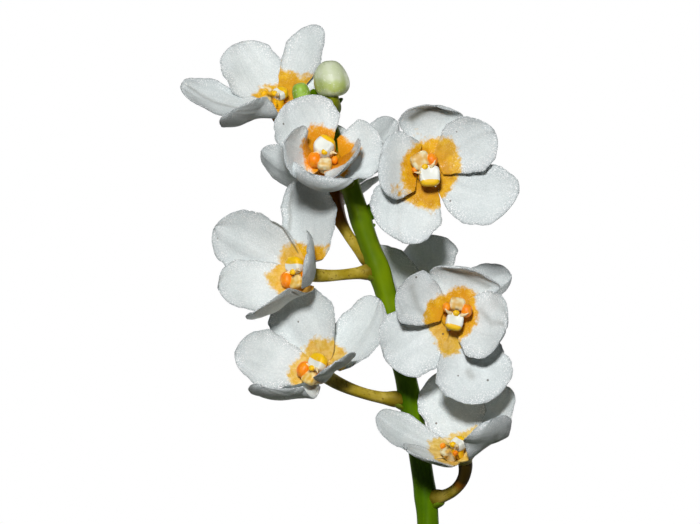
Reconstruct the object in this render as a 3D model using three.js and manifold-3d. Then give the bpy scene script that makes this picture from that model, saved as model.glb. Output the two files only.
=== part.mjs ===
// A sarcochilus orchid in flower, growing in bark in a plain round pot.
// Lengths are millimetres and angles are degrees. +Z is up, the spray is seen from the front along +Y,
// and the origin is the middle of the pot's underside.

import * as THREE from "three";
import { mergeVertices } from "three/addons/utils/BufferGeometryUtils.js";
import Module from "manifold-3d";

const wasm = await Module();
wasm.setup();

// Driving dimensions. GAP is the clearance between separate pieces; corners closer than SAME_POINT are one
// corner, and faces thinner than SLIVER are closed up after a cut.
const GAP = 0.3;
const SAME_POINT = 0.0001;
const SLIVER = 0.002;

// How many flat sides round pieces have, how many steps long pieces have, and how many rows and columns
// the blades have.
const SIDES = { pot: 32, bark: 24, drain: 8, crown: 8, root: 5, stem: 8, stalk: 6, lip: 6, bud: [10, 7] };
const STEPS = { root: 5, stem: 18, stalk: 4 };
const GRID = { tepal: [5, 4], leaf: [5, 2], bract: [2, 2] };

const POT = { height: 88, rim: 54, foot: 39, wall: 3, floor: 4, band: 17, bandProud: 2.5, edge: 1.2 };
const DRAIN = { count: 4, radius: 4.5, ring: 20 };
const BARK = { level: 79, dome: 2.5, clearance: 0.75 };
const CHUNK = { count: 21, size: [15, 11, 7], varies: 0.25, leans: 14, proud: 0.8, seed: 11 };

// The leafy growths: where each one stands, how far its crown leans, its leaves in two ranks to the left
// and right, and how many degrees both ranks swing to the back.
const GROWTHS = [
  { name: "growth_1", at: [0, 0], leaves: 6, reach: 98, rise: 10, swing: 0, roots: [55, 230, 272] },
  { name: "growth_2", at: [-17, 18], leaves: 5, reach: 88, rise: 8, swing: 16, roots: [75, 200] },
  { name: "growth_3", at: [16, -18], leaves: 4, reach: 76, rise: 6, swing: -16, roots: [10, 250] },
];
const CROWN = { radius: 4, taper: 0.55, bottom: 72, top: 84, step: 3.4, leafInset: 1, stemRoom: 0.4 };
const LEAF = { halfWidth: 7.6, curl: -66, cup: 30, thickness: 1.5, shorter: 9, steeper: 6.5 };
const WIDE_NEAR_BASE = { base: 0.42, widest: 0.5, blunt: 0.46 };
const BROAD_BASE = { base: 0.62, widest: 0.5, blunt: 0.42 };
const LEAF_OUTLINE = { base: 0.42, widest: 0.55, blunt: 0.62 };
// A root's route is its distance from the middle of its growth and its height at each bend.
const ROOT = { radius: 1.7, route: [[3.9, 81.4], [8.9, 83], [16, 82.6], [22, 80.1], [24, 75.6]] };
const ROOT_COLLAR = { radius: 5.9, bottom: 78.6, top: 82.8 };
const ROOT_HOLE = { wider: 1.2, deeper: 1 };

const BLADE_THICKNESS = 0.7;
// Petals stand in front of the sepals by twice this.
const PETAL_LAYER = 0.45;
const STEM_RADIUS = { foot: 2.3, flowering: 2.15, tip: 1.6 };
const STALK_RADIUS = { stem: 1.4, middle: 1.25, flower: 1.5 };
const BRACT = { inset: 1, reach: 2.6, rise: 0.4, below: 1.9, thickness: 0.8 };
const BRACT_SHAPE = { halfWidth: 1.6, curl: 30, cup: 50 };
const RECEPTACLE = { front: 2.7, back: 1.5, depth: 2, ring: 2.2 };
const SPRAY_FOOT = [8.4, 0, 165];
const GOLDEN_ANGLE = 137.5;

// The flower stem from the axil of the middle growth up to the foot of the spray, then the flowering part,
// which is measured from the foot of the spray.
const PEDUNCLE = [
  [0.5, -3.5, 88],
  [1.5, -6.5, 100],
  [4.5, -6, 122],
  [7.6, -2.5, 146],
];
const RACHIS = [
  [0.2, 0, 0],
  [-1.2, 0.6, 12.2],
  [-3.2, 1, 24],
  [-5.6, 1.4, 36],
  [-8.6, 1.6, 47.6],
  [-12.6, 2, 59.2],
  [-16.1, 2.8, 70],
  [-20, 4, 80],
  [-21.6, 4.4, 83.6],
];

// Each flower: its middle, measured from the foot of the spray, the way that it faces (degrees to the right
// of the viewer, degrees above level), the angle of its dorsal side round that way, the place where its
// stalk leaves the stem, and the tips of its tepals, measured from its middle: right, away and up.
const FLOWERS = [
  {
    name: "flower_1",
    at: [7, -9, 14.4],
    facing: [-20, 56],
    dorsal: 235,
    stalk: { leaves: 5.4, out: [5.5, -3, -0.6], reach: 4.5 },
    tepals: {
      dorsal: { tip: [-11.4, -9, 1.8], halfWidth: 4.8 },
      leftPetal: { tip: [5.3, -9, 7], halfWidth: 5.6, roll: -35, curl: 60 },
      leftSepal: { tip: [9, 5, 13.6], halfWidth: 4.6 },
      rightSepal: { tip: [-3.7, 7, 16.8], halfWidth: 6.8 },
      rightPetal: { tip: [-17.2, -1, 7.3], halfWidth: 5.8, sway: 0.03 },
    },
  },
  {
    name: "flower_2",
    at: [-21, -4, 30.4],
    facing: [-35, 25],
    dorsal: 250,
    stalk: { leaves: 25, out: [-6, -1, -0.6], reach: 6 },
    tepals: {
      dorsal: { tip: [-12, -8, -2.3], halfWidth: 6.6, roll: 40, curl: 110, sway: 0.08 },
      leftPetal: { tip: [3, -12, 2.2], halfWidth: 4.8, roll: -35 },
      leftSepal: { tip: [11.3, 1, 14.9], halfWidth: 6.3, sway: -0.06, outline: BROAD_BASE },
      rightSepal: { tip: [-6.7, 3.2, 16.8], halfWidth: 7.3 },
      rightPetal: { tip: [-16.9, -2, 4.4], halfWidth: 6 },
    },
  },
  {
    name: "flower_3",
    at: [5, -12, 41.6],
    facing: [4, 4],
    dorsal: 80,
    stalk: { leaves: 33, out: [4, -5, 3], reach: 4 },
    tepals: {
      dorsal: { tip: [2.6, -4, 9.2], halfWidth: 7.3, curl: 60, hook: 80 },
      leftPetal: { tip: [-11.2, -4, 5.4], halfWidth: 5.6 },
      leftSepal: { tip: [-13.7, -2, -7.9], halfWidth: 7.3 },
      rightSepal: { tip: [6.6, -3, -16.8], halfWidth: 7.3 },
      rightPetal: { tip: [9.9, -6, -4.4], halfWidth: 6, outline: BROAD_BASE },
    },
  },
  {
    name: "flower_4",
    at: [-24.2, -4, 50.2],
    facing: [-42, 10],
    dorsal: 285,
    stalk: { leaves: 50.7, out: [-5, -1, -0.6], reach: 4 },
    tepals: {
      dorsal: { tip: [-10.8, -8, -7.6], halfWidth: 5.8, curl: 60, roll: 45 },
      leftPetal: { tip: [0.8, -12, 4], halfWidth: 6.2, roll: -10, cup: 36 },
      leftSepal: { tip: [-0.6, 2, 19.2], halfWidth: 7.6, sway: -0.05, outline: BROAD_BASE },
      rightSepal: { tip: [-18.4, -1, 9.2], halfWidth: 6.8 },
      rightPetal: { tip: [-17.1, -4, -3.2], halfWidth: 6 },
    },
  },
  {
    name: "flower_5",
    at: [2.2, 8, 44.8],
    facing: [165, 10],
    dorsal: 90,
    stalk: { leaves: 42, out: [4, 3, 2], reach: 4 },
    tepals: {
      dorsal: { tip: [-1.9, 3, 12.6], halfWidth: 5.8 },
      leftPetal: { tip: [14.9, 3, 5.1], halfWidth: 4 },
      leftSepal: { tip: [8, 4, -10], halfWidth: 5.6 },
      rightSepal: { tip: [-7, 5, -10], halfWidth: 5.6 },
      rightPetal: { tip: [-14.2, 3, 8.4], halfWidth: 4.6 },
    },
  },
  {
    name: "flower_6",
    at: [0, -11, 70.2],
    facing: [4, 4],
    dorsal: 120,
    stalk: { leaves: 61, out: [4, -1.5, 1], reach: 4 },
    tepals: {
      dorsal: { tip: [1.3, -4, 12.8], halfWidth: 6.6, curl: 50, hook: 80 },
      leftPetal: { tip: [-8, -7, 0.9], halfWidth: 6.8, curl: 60, hook: 60, outline: WIDE_NEAR_BASE },
      leftSepal: { tip: [-5.2, -3, -13.9], halfWidth: 7.5, sway: -0.13, outline: WIDE_NEAR_BASE },
      rightSepal: { tip: [17.8, -3, -4.2], halfWidth: 6.5, sway: -0.13, outline: WIDE_NEAR_BASE },
      rightPetal: { tip: [13, -3, 7.5], halfWidth: 5.9, sway: 0.05 },
    },
  },
  {
    name: "flower_7",
    at: [-19.8, -9, 72.8],
    facing: [0, 40],
    dorsal: 270,
    stalk: { leaves: 69.5, out: [-1.5, -4, 0], reach: 3.5 },
    tepals: {
      dorsal: { tip: [-2.6, -11, -2.8], halfWidth: 7.5, curl: 135, cup: 60 },
      leftPetal: { tip: [5.6, -9.5, 0.6], halfWidth: 5.6, roll: 20 },
      leftSepal: { tip: [11, -2, 2.6], halfWidth: 7.8, outline: BROAD_BASE },
      rightSepal: { tip: [-7, 1, 12], halfWidth: 7.6 },
      rightPetal: { tip: [-8.6, -8.5, 2.2], halfWidth: 6, roll: -40 },
    },
  },
  {
    name: "flower_8",
    at: [-18.8, 9, 66.8],
    facing: [180, 45],
    dorsal: 90,
    stalk: { leaves: 51.3, out: [-4.8, 2, 3.4], reach: 5 },
    tepals: {
      dorsal: { tip: [-1, 0, 14], halfWidth: 5 },
      leftPetal: { tip: [12.6, 2, 14.2], halfWidth: 5 },
      leftSepal: { tip: [8, 14, 2.5], halfWidth: 5.6 },
      rightSepal: { tip: [-8, 14, 2.5], halfWidth: 5.6 },
      rightPetal: { tip: [-14.6, -1, 7.8], halfWidth: 5 },
    },
  },
  {
    name: "flower_9",
    at: [-30, 1, 83.2],
    facing: [-8, 56],
    dorsal: 225,
    stalk: { leaves: 78, out: [-5, -1, -0.5], reach: 1.5 },
    tepals: {
      dorsal: { tip: [-9, -9.6, -0.8], halfWidth: 6.2, roll: 50, outline: WIDE_NEAR_BASE },
      leftPetal: { tip: [7.6, 3, 6.8], halfWidth: 4.2 },
      leftSepal: { tip: [8, 2, 17.2], halfWidth: 4.8, sway: 0.05 },
      rightSepal: { tip: [-8.2, 5, 13.8], halfWidth: 6.8 },
      rightPetal: { tip: [-19.2, -3, 3.9], halfWidth: 6.4, sway: 0.06 },
    },
  },
];

const TEPAL = {
  halfWidth: 6,
  curl: 34,
  hook: 0,
  roll: 0,
  cup: 22,
  sway: 0,
  wave: 0.03,
  outline: { base: 0.34, widest: 0.6, blunt: 0.5 },
};

// How fast the ripples of a blade's edges run along it and across it, in radians.
const RIPPLES = { along: 9, across: 2 };

// The buds: the middle of each one, its size, the way that it points, and its stalk, measured as above.
const BUDS = [
  {
    name: "bud_1",
    at: [-25, -4.6, 85.6],
    radius: 1.8,
    halfLength: 2.4,
    points: [-0.25, -0.2, 1],
    stalk: { leaves: 79, out: [-2, 0, 1], reach: 1.5, radius: 0.9 },
  },
  {
    name: "bud_2",
    at: [-19.3, -3, 88.9],
    radius: 3.5,
    halfLength: 3.6,
    points: [-0.05, -0.1, 1],
    stalk: { leaves: 82, out: [1.4, 0, 0.6], reach: 2, radius: 1.3 },
  },
];

// The lip and column of a flower, in the flower's own axes: across, towards its dorsal side, and outwards.
const LIP = {
  foot: { radius: 1.6, height: 1.4 },
  column: { radius: 1.1, height: 2.9, dorsal: 1.2 },
  lobe: { at: [0, -1, 2.5], size: [1.7, 1.4, 1.6] },
  sideLobe: { at: [1.7, 0, 2.4], size: [0.8, 1.2, 1.3] },
};

const GREEN_STEM = { color: 0x4f7d0e, roughness: 0.45, metalness: 0 };
const WHITE_TEPAL = { color: 0xe6ebec, roughness: 0.6, metalness: 0 };
const LIP_YELLOW = { color: 0xf5c04a, roughness: 0.5, metalness: 0 };
const GREEN_BUD = { color: 0xd5e3b4, roughness: 0.5, metalness: 0 };
const GREEN_LEAF = { color: 0x4c7a2a, roughness: 0.5, metalness: 0 };
const ROOT_GREY = { color: 0xb9bda6, roughness: 0.8, metalness: 0 };
const BARK_BROWN = { color: 0x5f3f28, roughness: 0.95, metalness: 0 };
const TERRACOTTA = { color: 0xb5633f, roughness: 0.85, metalness: 0 };

// Small helpers
const vec = (x, y, z) => new THREE.Vector3(x, y, z);
const sine = (degrees) => Math.sin(THREE.MathUtils.degToRad(degrees));
const cosine = (degrees) => Math.cos(THREE.MathUtils.degToRad(degrees));
const smooth = (t) => THREE.MathUtils.smoothstep(t, 0, 1);
const onSpray = ([x, y, z]) => vec(x + SPRAY_FOOT[0], y + SPRAY_FOOT[1], z + SPRAY_FOOT[2]);

// The corners of a closed geometry, merged where they are closer than `within`, and its triangles without
// the ones that collapse.
function cleanFaces(geometry, within) {
  const bare = new THREE.BufferGeometry();
  bare.setAttribute("position", geometry.getAttribute("position"));
  bare.setIndex(geometry.index);
  const merged = mergeVertices(bare, within);
  const corners = merged.index.array;
  const kept = [];
  for (let i = 0; i < corners.length; i += 3) {
    const [a, b, c] = corners.slice(i, i + 3);
    if (a !== b && b !== c && c !== a) kept.push(a, b, c);
  }
  return { vertProperties: merged.getAttribute("position").array, triVerts: new Uint32Array(kept) };
}

const solidOf = (geometry) =>
  new wasm.Manifold(new wasm.Mesh({ numProp: 3, ...cleanFaces(geometry, SAME_POINT) }));

function geometryOf({ vertProperties, triVerts }) {
  const geometry = new THREE.BufferGeometry();
  geometry.setAttribute("position", new THREE.BufferAttribute(vertProperties, 3));
  geometry.setIndex(new THREE.BufferAttribute(triVerts, 1));
  return geometry;
}

// A solid as a named mesh, without the slivers that cutting and joining leave.
function meshOf(name, solid, finish) {
  const geometry = geometryOf(cleanFaces(geometryOf(solid.getMesh()), SLIVER));
  geometry.computeVertexNormals();
  const mesh = new THREE.Mesh(geometry, new THREE.MeshStandardMaterial(finish));
  mesh.name = name;
  return mesh;
}

const union = (solids) => solids.reduce((whole, piece) => whole.add(piece));

// The one body that is left when loose scraps and sealed hollows are dropped.
const largest = (solid) => solid.decompose().sort((a, b) => b.volume() - a.volume())[0];
const fused = (solids) => largest(union(solids));

// A geometry moved so that its own axes lie along the given ones, with its origin at a point.
function placed(geometry, at, xAxis, yAxis, zAxis) {
  return geometry.applyMatrix4(new THREE.Matrix4().makeBasis(xAxis, yAxis, zAxis).setPosition(at));
}

// The half width of a blade, as a share of its widest, from its root at 0 to its tip at 1:
// a quarter sine up to the widest place, then a round or pointed end.
function outlineShare(u, { base, widest, blunt }) {
  if (u < widest) return base + (1 - base) * sine(90 * (u / widest));
  return Math.pow(Math.max(0, 1 - ((u - widest) / (1 - widest)) ** 2), blunt);
}

// A bent line from (0, 0) to (1, 0), as its height and slope at a share of the way along. It turns by
// `curl` degrees in even steps and by `hook` degrees more near its end, and is then scaled and turned so
// that it ends at (1, 0).
function bentLine(curl, hook) {
  const steps = 30;
  const slope = (t) => curl * t + hook * t ** 4;
  const points = [new THREE.Vector2()];
  for (let i = 0; i < steps; i++) {
    const angle = slope((i + 0.5) / steps);
    points.push(points[i].clone().add(new THREE.Vector2(cosine(angle), sine(angle))));
  }
  const reach = points[steps].length();
  const start = points[steps].angle();
  for (const point of points) point.rotateAround(new THREE.Vector2(), -start).divideScalar(reach);
  return (t) => {
    const i = Math.min(steps - 1, Math.floor(t * steps));
    const point = points[i].clone().lerp(points[i + 1], t * steps - i);
    return { along: point.x, rise: point.y, slope: slope(t) - THREE.MathUtils.radToDeg(start) };
  };
}

// A petal, leaf or bract as a surface of u, from root to tip, and v, from edge to edge. Its midrib is a bent
// line that curls towards `face`. Across, it is an arc whose edges lean `cup` degrees towards `face`. `roll`
// turns its outer half about the midrib, `sway` bows it sideways by a share of its length, and `wave`
// ripples its edges.
function bladeSurface({ root, tip, face, halfWidth, curl, hook, roll, cup, sway, wave, outline }) {
  const length = root.distanceTo(tip);
  const out = tip.clone().sub(root).normalize();
  const inner = face.clone().addScaledVector(out, -face.dot(out)).normalize();
  const side = vec().crossVectors(inner, out);
  const midrib = bentLine(curl, hook);
  const bend = THREE.MathUtils.degToRad(cup);
  return (u, v) => {
    const { along, rise, slope } = midrib(u);
    const upright = inner.clone().multiplyScalar(cosine(slope)).addScaledVector(out, -sine(slope));
    const turned = roll * smooth(u / 0.5);
    const facing = upright.clone().multiplyScalar(cosine(turned)).addScaledVector(side, -sine(turned));
    const sideways = side.clone().multiplyScalar(cosine(turned)).addScaledVector(upright, sine(turned));
    const width = halfWidth * outlineShare(u, outline);
    const across = (width * Math.sin(bend * v)) / bend + sway * length * 4 * u * (1 - u);
    const ripple = wave * halfWidth * v * v * Math.sin(RIPPLES.along * u + RIPPLES.across * v);
    const lift = (width * (1 - Math.cos(bend * v))) / bend + ripple;
    const point = root.clone().addScaledVector(out, along * length).addScaledVector(inner, rise * length);
    point.addScaledVector(sideways, across).addScaledVector(facing, lift);
    const normal = facing.multiplyScalar(Math.cos(bend * v)).addScaledVector(sideways, -Math.sin(bend * v));
    return { point, normal };
  };
}

// A closed blade of even thickness round a surface, both faces split into the same triangles.
function closedBlade(surface, rows, columns, thickness) {
  const corners = [];
  const faces = [];
  for (const half of [thickness / 2, -thickness / 2]) {
    for (let j = 0; j <= rows; j++) {
      for (let i = 0; i <= columns; i++) {
        const u = 1 - (1 - j / rows) ** 1.6;
        const { point, normal } = surface(u, (2 * i) / columns - 1);
        corners.push(...point.addScaledVector(normal, half).toArray());
      }
    }
  }
  const at = (j, i) => j * (columns + 1) + i;
  const below = (rows + 1) * (columns + 1);
  for (let j = 0; j < rows; j++) {
    for (let i = 0; i < columns; i++) {
      const [a, b, c, d] = [at(j, i), at(j + 1, i), at(j + 1, i + 1), at(j, i + 1)];
      faces.push(a, b, c, a, c, d, below + a, below + c, below + b, below + a, below + d, below + c);
    }
  }
  const rim = [];
  for (let j = 0; j < rows; j++) rim.push(at(j, 0));
  for (let i = 0; i < columns; i++) rim.push(at(rows, i));
  for (let j = rows; j > 0; j--) rim.push(at(j, columns));
  for (let i = columns; i > 0; i--) rim.push(at(0, i));
  rim.forEach((p, k) => {
    const q = rim[(k + 1) % rim.length];
    faces.push(below + p, below + q, q, below + p, q, p);
  });
  const geometry = new THREE.BufferGeometry();
  geometry.setAttribute("position", new THREE.Float32BufferAttribute(corners, 3));
  geometry.setIndex(faces);
  return solidOf(geometry);
}

// A closed round tube along a curve, whose radius is a function of the share of the way along it.
function tube(curve, radiusAt, sides, steps) {
  const frames = curve.computeFrenetFrames(steps, false);
  const corners = [];
  const faces = [];
  for (let j = 0; j <= steps; j++) {
    const centre = curve.getPointAt(j / steps);
    for (let i = 0; i < sides; i++) {
      const angle = (360 * i) / sides;
      const spoke = frames.normals[j].clone().multiplyScalar(cosine(angle));
      spoke.addScaledVector(frames.binormals[j], sine(angle));
      corners.push(...centre.clone().addScaledVector(spoke, radiusAt(j / steps)).toArray());
    }
  }
  corners.push(...curve.getPointAt(0).toArray(), ...curve.getPointAt(1).toArray());
  const first = (steps + 1) * sides;
  const last = first + 1;
  for (let i = 0; i < sides; i++) {
    const next = (i + 1) % sides;
    for (let j = 0; j < steps; j++) {
      const [a, b, c, d] = [j * sides + i, j * sides + next, (j + 1) * sides + next, (j + 1) * sides + i];
      faces.push(a, b, c, a, c, d);
    }
    faces.push(first, next, i, last, steps * sides + i, steps * sides + next);
  }
  const geometry = new THREE.BufferGeometry();
  geometry.setAttribute("position", new THREE.Float32BufferAttribute(corners, 3));
  geometry.setIndex(faces);
  return solidOf(geometry);
}

// Random numbers from 0 to 1 that are the same on every run.
function seededRandom(seed) {
  let state = seed;
  return () => {
    state = (state * 1664525 + 1013904223) % 4294967296;
    return state / 4294967296;
  };
}

// A closed round shape that is stretched along its own three axes.
function ovoid(at, [xSize, ySize, zSize], xAxis, yAxis, zAxis) {
  const geometry = new THREE.OctahedronGeometry(1, 1).scale(xSize, ySize, zSize);
  return solidOf(placed(geometry, at, xAxis, yAxis, zAxis));
}

function cylinder(radius, bottom, top, sides, x = 0, y = 0) {
  const geometry = new THREE.CylinderGeometry(radius, radius, top - bottom, sides).rotateX(Math.PI / 2);
  return solidOf(geometry.translate(x, y, (top + bottom) / 2));
}

function lathe(profile, sides) {
  const points = profile.map(([radius, z]) => new THREE.Vector2(radius, z));
  return solidOf(new THREE.LatheGeometry(points, sides).rotateX(Math.PI / 2));
}

// The pot and its filling
const potOuter = (z) => THREE.MathUtils.lerp(POT.foot, POT.rim - POT.bandProud, z / POT.height);
const potInner = (z) => potOuter(z) - POT.wall;

function pot() {
  const { height, rim, foot, floor, band, edge } = POT;
  const under = height - band;
  const wall = lathe([
    [0, 0],
    [foot - edge, 0],
    [potOuter(edge), edge],
    [potOuter(under), under],
    [rim - edge, under],
    [rim, under + edge],
    [rim, height - edge],
    [rim - edge, height],
    [potInner(height) + edge, height],
    [potInner(height - edge), height - edge],
    [potInner(floor), floor],
    [0, floor],
  ], SIDES.pot);
  const holes = [...Array(DRAIN.count).keys()].map((k) => {
    const angle = 45 + (360 * k) / DRAIN.count;
    const [x, y] = [DRAIN.ring * cosine(angle), DRAIN.ring * sine(angle)];
    return cylinder(DRAIN.radius, -floor, 2 * floor, SIDES.drain, x, y);
  });
  return wall.subtract(union(holes));
}

// The roots of a growth run out from a collar round its crown and turn down into the bark.
function rootTube(growth, heading, wider = 0, deeper = 0) {
  const [x, y] = growth.at;
  const bends = ROOT.route.map(([distance, z]) =>
    vec(x + distance * cosine(heading), y + distance * sine(heading), z));
  bends[bends.length - 1].z -= deeper;
  return tube(new THREE.CatmullRomCurve3(bends), () => ROOT.radius + wider, SIDES.root, STEPS.root);
}

function roots(growth) {
  const [x, y] = growth.at;
  const { radius, bottom, top } = ROOT_COLLAR;
  const collar = cylinder(radius, bottom, top, SIDES.crown, x, y);
  const threads = growth.roots.map((heading) => rootTube(growth, heading));
  return union([collar, ...threads]).subtract(cylinder(CROWN.radius + GAP, 0, POT.height, SIDES.crown, x, y));
}

// Bark: a filling with chunks half sunk in its top, and plain holes where the growths and roots stand.
function bark() {
  const { level, dome, clearance } = BARK;
  const { count, size, varies, proud } = CHUNK;
  const random = seededRandom(CHUNK.seed);
  const spread = () => 2 * random() - 1;
  const lean = THREE.MathUtils.degToRad(CHUNK.leans);
  const bottom = POT.floor + GAP;
  const room = (top, domed) => lathe([
    [0, bottom],
    [potInner(bottom) - clearance, bottom],
    [potInner(top) - clearance, top],
    [0, top + domed],
  ], SIDES.bark);
  const pieces = [...Array(count).keys()].map((k) => {
    const geometry = new THREE.BoxGeometry(...size.map((side) => side * (1 + varies * spread())));
    geometry.rotateX(lean * spread()).rotateY(lean * spread()).rotateZ(Math.PI * random());
    const distance = (potInner(level) - size[1] / 2) * Math.sqrt((k + 0.5) / count);
    const heading = GOLDEN_ANGLE * k;
    const z = level + dome * (1 - distance / potInner(level)) + proud * random();
    return solidOf(geometry.translate(distance * cosine(heading), distance * sine(heading), z));
  });
  const holes = GROWTHS.flatMap((growth) => [
    cylinder(ROOT_COLLAR.radius + 1.2 * GAP, CROWN.bottom - GAP, 2 * POT.height, SIDES.crown, ...growth.at),
    ...growth.roots.map((heading) => rootTube(growth, heading, ROOT_HOLE.wider, ROOT_HOLE.deeper)),
  ]);
  const heap = room(level, dome).add(union(pieces).intersect(room(POT.height, 0)));
  return largest(heap.subtract(union(holes)));
}

// A leafy growth: a short crown in a hole in the bark, with leaves in two ranks, the younger ones higher,
// shorter and steeper.
function growthLeaf(growth, k) {
  const { top, step, leafInset } = CROWN;
  const heading = k % 2 ? growth.swing : 180 - growth.swing;
  const out = vec(cosine(heading), sine(heading), 0);
  const root = vec(...growth.at, top + step * k).addScaledVector(out, leafInset);
  const reach = growth.reach - LEAF.shorter * k;
  const rise = growth.rise + LEAF.steeper * k;
  const tip = root.clone().addScaledVector(out, reach).add(vec(0, 0, rise));
  const { halfWidth, curl, cup } = LEAF;
  const surface = bladeSurface({
    ...TEPAL, root, tip, face: vec(0, 0, 1), halfWidth, curl, cup, outline: LEAF_OUTLINE,
  });
  return closedBlade(surface, ...GRID.leaf, LEAF.thickness);
}

function growthBody(growth) {
  const { radius, taper, bottom, top, step, stemRoom } = CROWN;
  const height = top + step * growth.leaves;
  const crown = new THREE.CylinderGeometry(radius * taper, radius, height - bottom, SIDES.crown);
  crown.rotateX(Math.PI / 2).translate(...growth.at, (height + bottom) / 2);
  const leaves = [...Array(growth.leaves).keys()].map((k) => growthLeaf(growth, k));
  const [x, y, z] = PEDUNCLE[0];
  const footHole = cylinder(STEM_RADIUS.foot + GAP, z - 1, z + 1, SIDES.stem, x, y);
  const stemHole = tube(stemCurve, (t) => stemRadius(t) + stemRoom, SIDES.stem, STEPS.stem);
  return largest(union([solidOf(crown), ...leaves]).subtract(footHole.add(stemHole)));
}

// The flower stem
const stemCurve = new THREE.CatmullRomCurve3([...PEDUNCLE.map((p) => vec(...p)), ...RACHIS.map(onSpray)]);

// The point of the flower stem at a height above the foot of the spray.
function onStem(height) {
  const z = SPRAY_FOOT[2] + height;
  let [low, high] = [0, 1];
  for (let i = 0; i < 30; i++) {
    const middle = (low + high) / 2;
    if (stemCurve.getPointAt(middle).z < z) low = middle;
    else high = middle;
  }
  return stemCurve.getPointAt(low);
}

function stemRadius(share) {
  const { foot, flowering, tip } = STEM_RADIUS;
  if (share < 0.5) return THREE.MathUtils.lerp(foot, flowering, share / 0.5);
  return THREE.MathUtils.lerp(flowering, tip, ((share - 0.5) / 0.5) ** 4);
}

// A flower's own axes: face looks out of the flower, up is the way the topmost tepal would point if the
// flower were level, and left is the viewer's left.
function flowerAxes([azimuth, elevation]) {
  const face = vec(sine(azimuth) * cosine(elevation), -cosine(azimuth) * cosine(elevation), sine(elevation));
  const up = vec(0, 0, 1).addScaledVector(face, -face.z).normalize();
  const right = vec().crossVectors(up, face);
  return { face, up, right };
}

const aroundFlower = ({ up, right }, angle) =>
  right.clone().multiplyScalar(cosine(angle)).addScaledVector(up, sine(angle));

function tepalRing(flower) {
  const axes = flowerAxes(flower.facing);
  const centre = onSpray(flower.at);
  const pieces = Object.entries(flower.tepals).map(([name, tepal]) => {
    const layer = name.endsWith("Petal") ? PETAL_LAYER : -PETAL_LAYER;
    const heart = centre.clone().addScaledVector(axes.face, layer);
    const tip = heart.clone().add(vec(...tepal.tip));
    const out = vec(...tepal.tip).addScaledVector(axes.face, -vec(...tepal.tip).dot(axes.face)).normalize();
    const root = heart.clone().addScaledVector(out, RECEPTACLE.ring);
    const surface = bladeSurface({ ...TEPAL, ...tepal, root, tip, face: axes.face });
    return closedBlade(surface, ...GRID.tepal, BLADE_THICKNESS);
  });
  const { front, back, depth } = RECEPTACLE;
  const cone = new THREE.CylinderGeometry(front, back, depth, SIDES.stem);
  cone.translate(0, (BLADE_THICKNESS - depth) / 2, 0);
  pieces.push(solidOf(placed(cone, centre, axes.right, axes.face, axes.right.clone().cross(axes.face))));
  return fused(pieces);
}

// The curve of a stalk from the stem to a point, where it arrives along a direction.
function stalkCurve({ leaves, out, reach }, end, direction) {
  const start = onStem(leaves);
  const leave = start.clone().add(vec(...out));
  const arrive = end.clone().addScaledVector(direction, -reach);
  return new THREE.CubicBezierCurve3(start, leave, arrive, end);
}

function flowerStalk(flower) {
  const { face } = flowerAxes(flower.facing);
  const back = RECEPTACLE.depth - BLADE_THICKNESS / 2 + GAP;
  const end = onSpray(flower.at).addScaledVector(face, -back);
  const { stem, middle, flower: wide } = STALK_RADIUS;
  const radiusAt = (t) => {
    if (t < 0.5) return THREE.MathUtils.lerp(stem, middle, smooth(2 * t));
    return THREE.MathUtils.lerp(middle, wide, smooth(2 * t - 1));
  };
  return tube(stalkCurve(flower.stalk, end, face), radiusAt, SIDES.stalk, STEPS.stalk);
}

function budStalk(bud) {
  const direction = vec(...bud.points).normalize();
  const end = onSpray(bud.at).addScaledVector(direction, -bud.halfLength - GAP);
  return tube(stalkCurve(bud.stalk, end, direction), () => bud.stalk.radius, SIDES.stalk, STEPS.stalk);
}

// A bract hugs the stem under each stalk.
function bract(flower) {
  const { inset, reach, rise, below, thickness } = BRACT;
  const out = vec(...flower.stalk.out).setZ(0).normalize();
  const root = onStem(flower.stalk.leaves - below).addScaledVector(out, inset);
  const tip = root.clone().addScaledVector(out, reach).add(vec(0, 0, rise));
  const surface = bladeSurface({ ...TEPAL, ...BRACT_SHAPE, root, tip, face: vec(0, 0, 1) });
  return closedBlade(surface, ...GRID.bract, thickness);
}

function flowerStem() {
  const stalks = [...FLOWERS.map(flowerStalk), ...BUDS.map(budStalk)];
  return fused([tube(stemCurve, stemRadius, SIDES.stem, STEPS.stem), ...stalks, ...FLOWERS.map(bract)]);
}

function lip(flower) {
  const { face, up, right } = flowerAxes(flower.facing);
  const dorsal = aroundFlower({ up, right }, flower.dorsal);
  const side = vec().crossVectors(dorsal, face);
  const floor = PETAL_LAYER + BLADE_THICKNESS / 2 + GAP;
  const centre = onSpray(flower.at).addScaledVector(face, floor);
  const at = (across, toDorsal, outwards) => {
    const shifted = centre.clone().addScaledVector(side, across).addScaledVector(dorsal, toDorsal);
    return shifted.addScaledVector(face, outwards);
  };
  const pillar = ({ radius, height, dorsal: toDorsal = 0 }) => {
    const geometry = new THREE.CylinderGeometry(radius, radius, height, SIDES.lip);
    return solidOf(placed(geometry, at(0, toDorsal, height / 2), side, face, side.clone().cross(face)));
  };
  const { at: [across, toDorsal, outwards], size } = LIP.sideLobe;
  return fused([
    pillar(LIP.foot),
    pillar(LIP.column),
    ovoid(at(...LIP.lobe.at), LIP.lobe.size, side, dorsal, face),
    ovoid(at(across, toDorsal, outwards), size, side, dorsal, face),
    ovoid(at(-across, toDorsal, outwards), size, side, dorsal, face),
  ]);
}

function bud({ at, radius, halfLength, points }) {
  const axis = vec(...points).normalize();
  const side = vec(1, 0, 0).addScaledVector(axis, -axis.x).normalize();
  const geometry = new THREE.SphereGeometry(1, ...SIDES.bud).scale(radius, halfLength, radius);
  return solidOf(placed(geometry, onSpray(at), side, axis, side.clone().cross(axis)));
}

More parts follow.
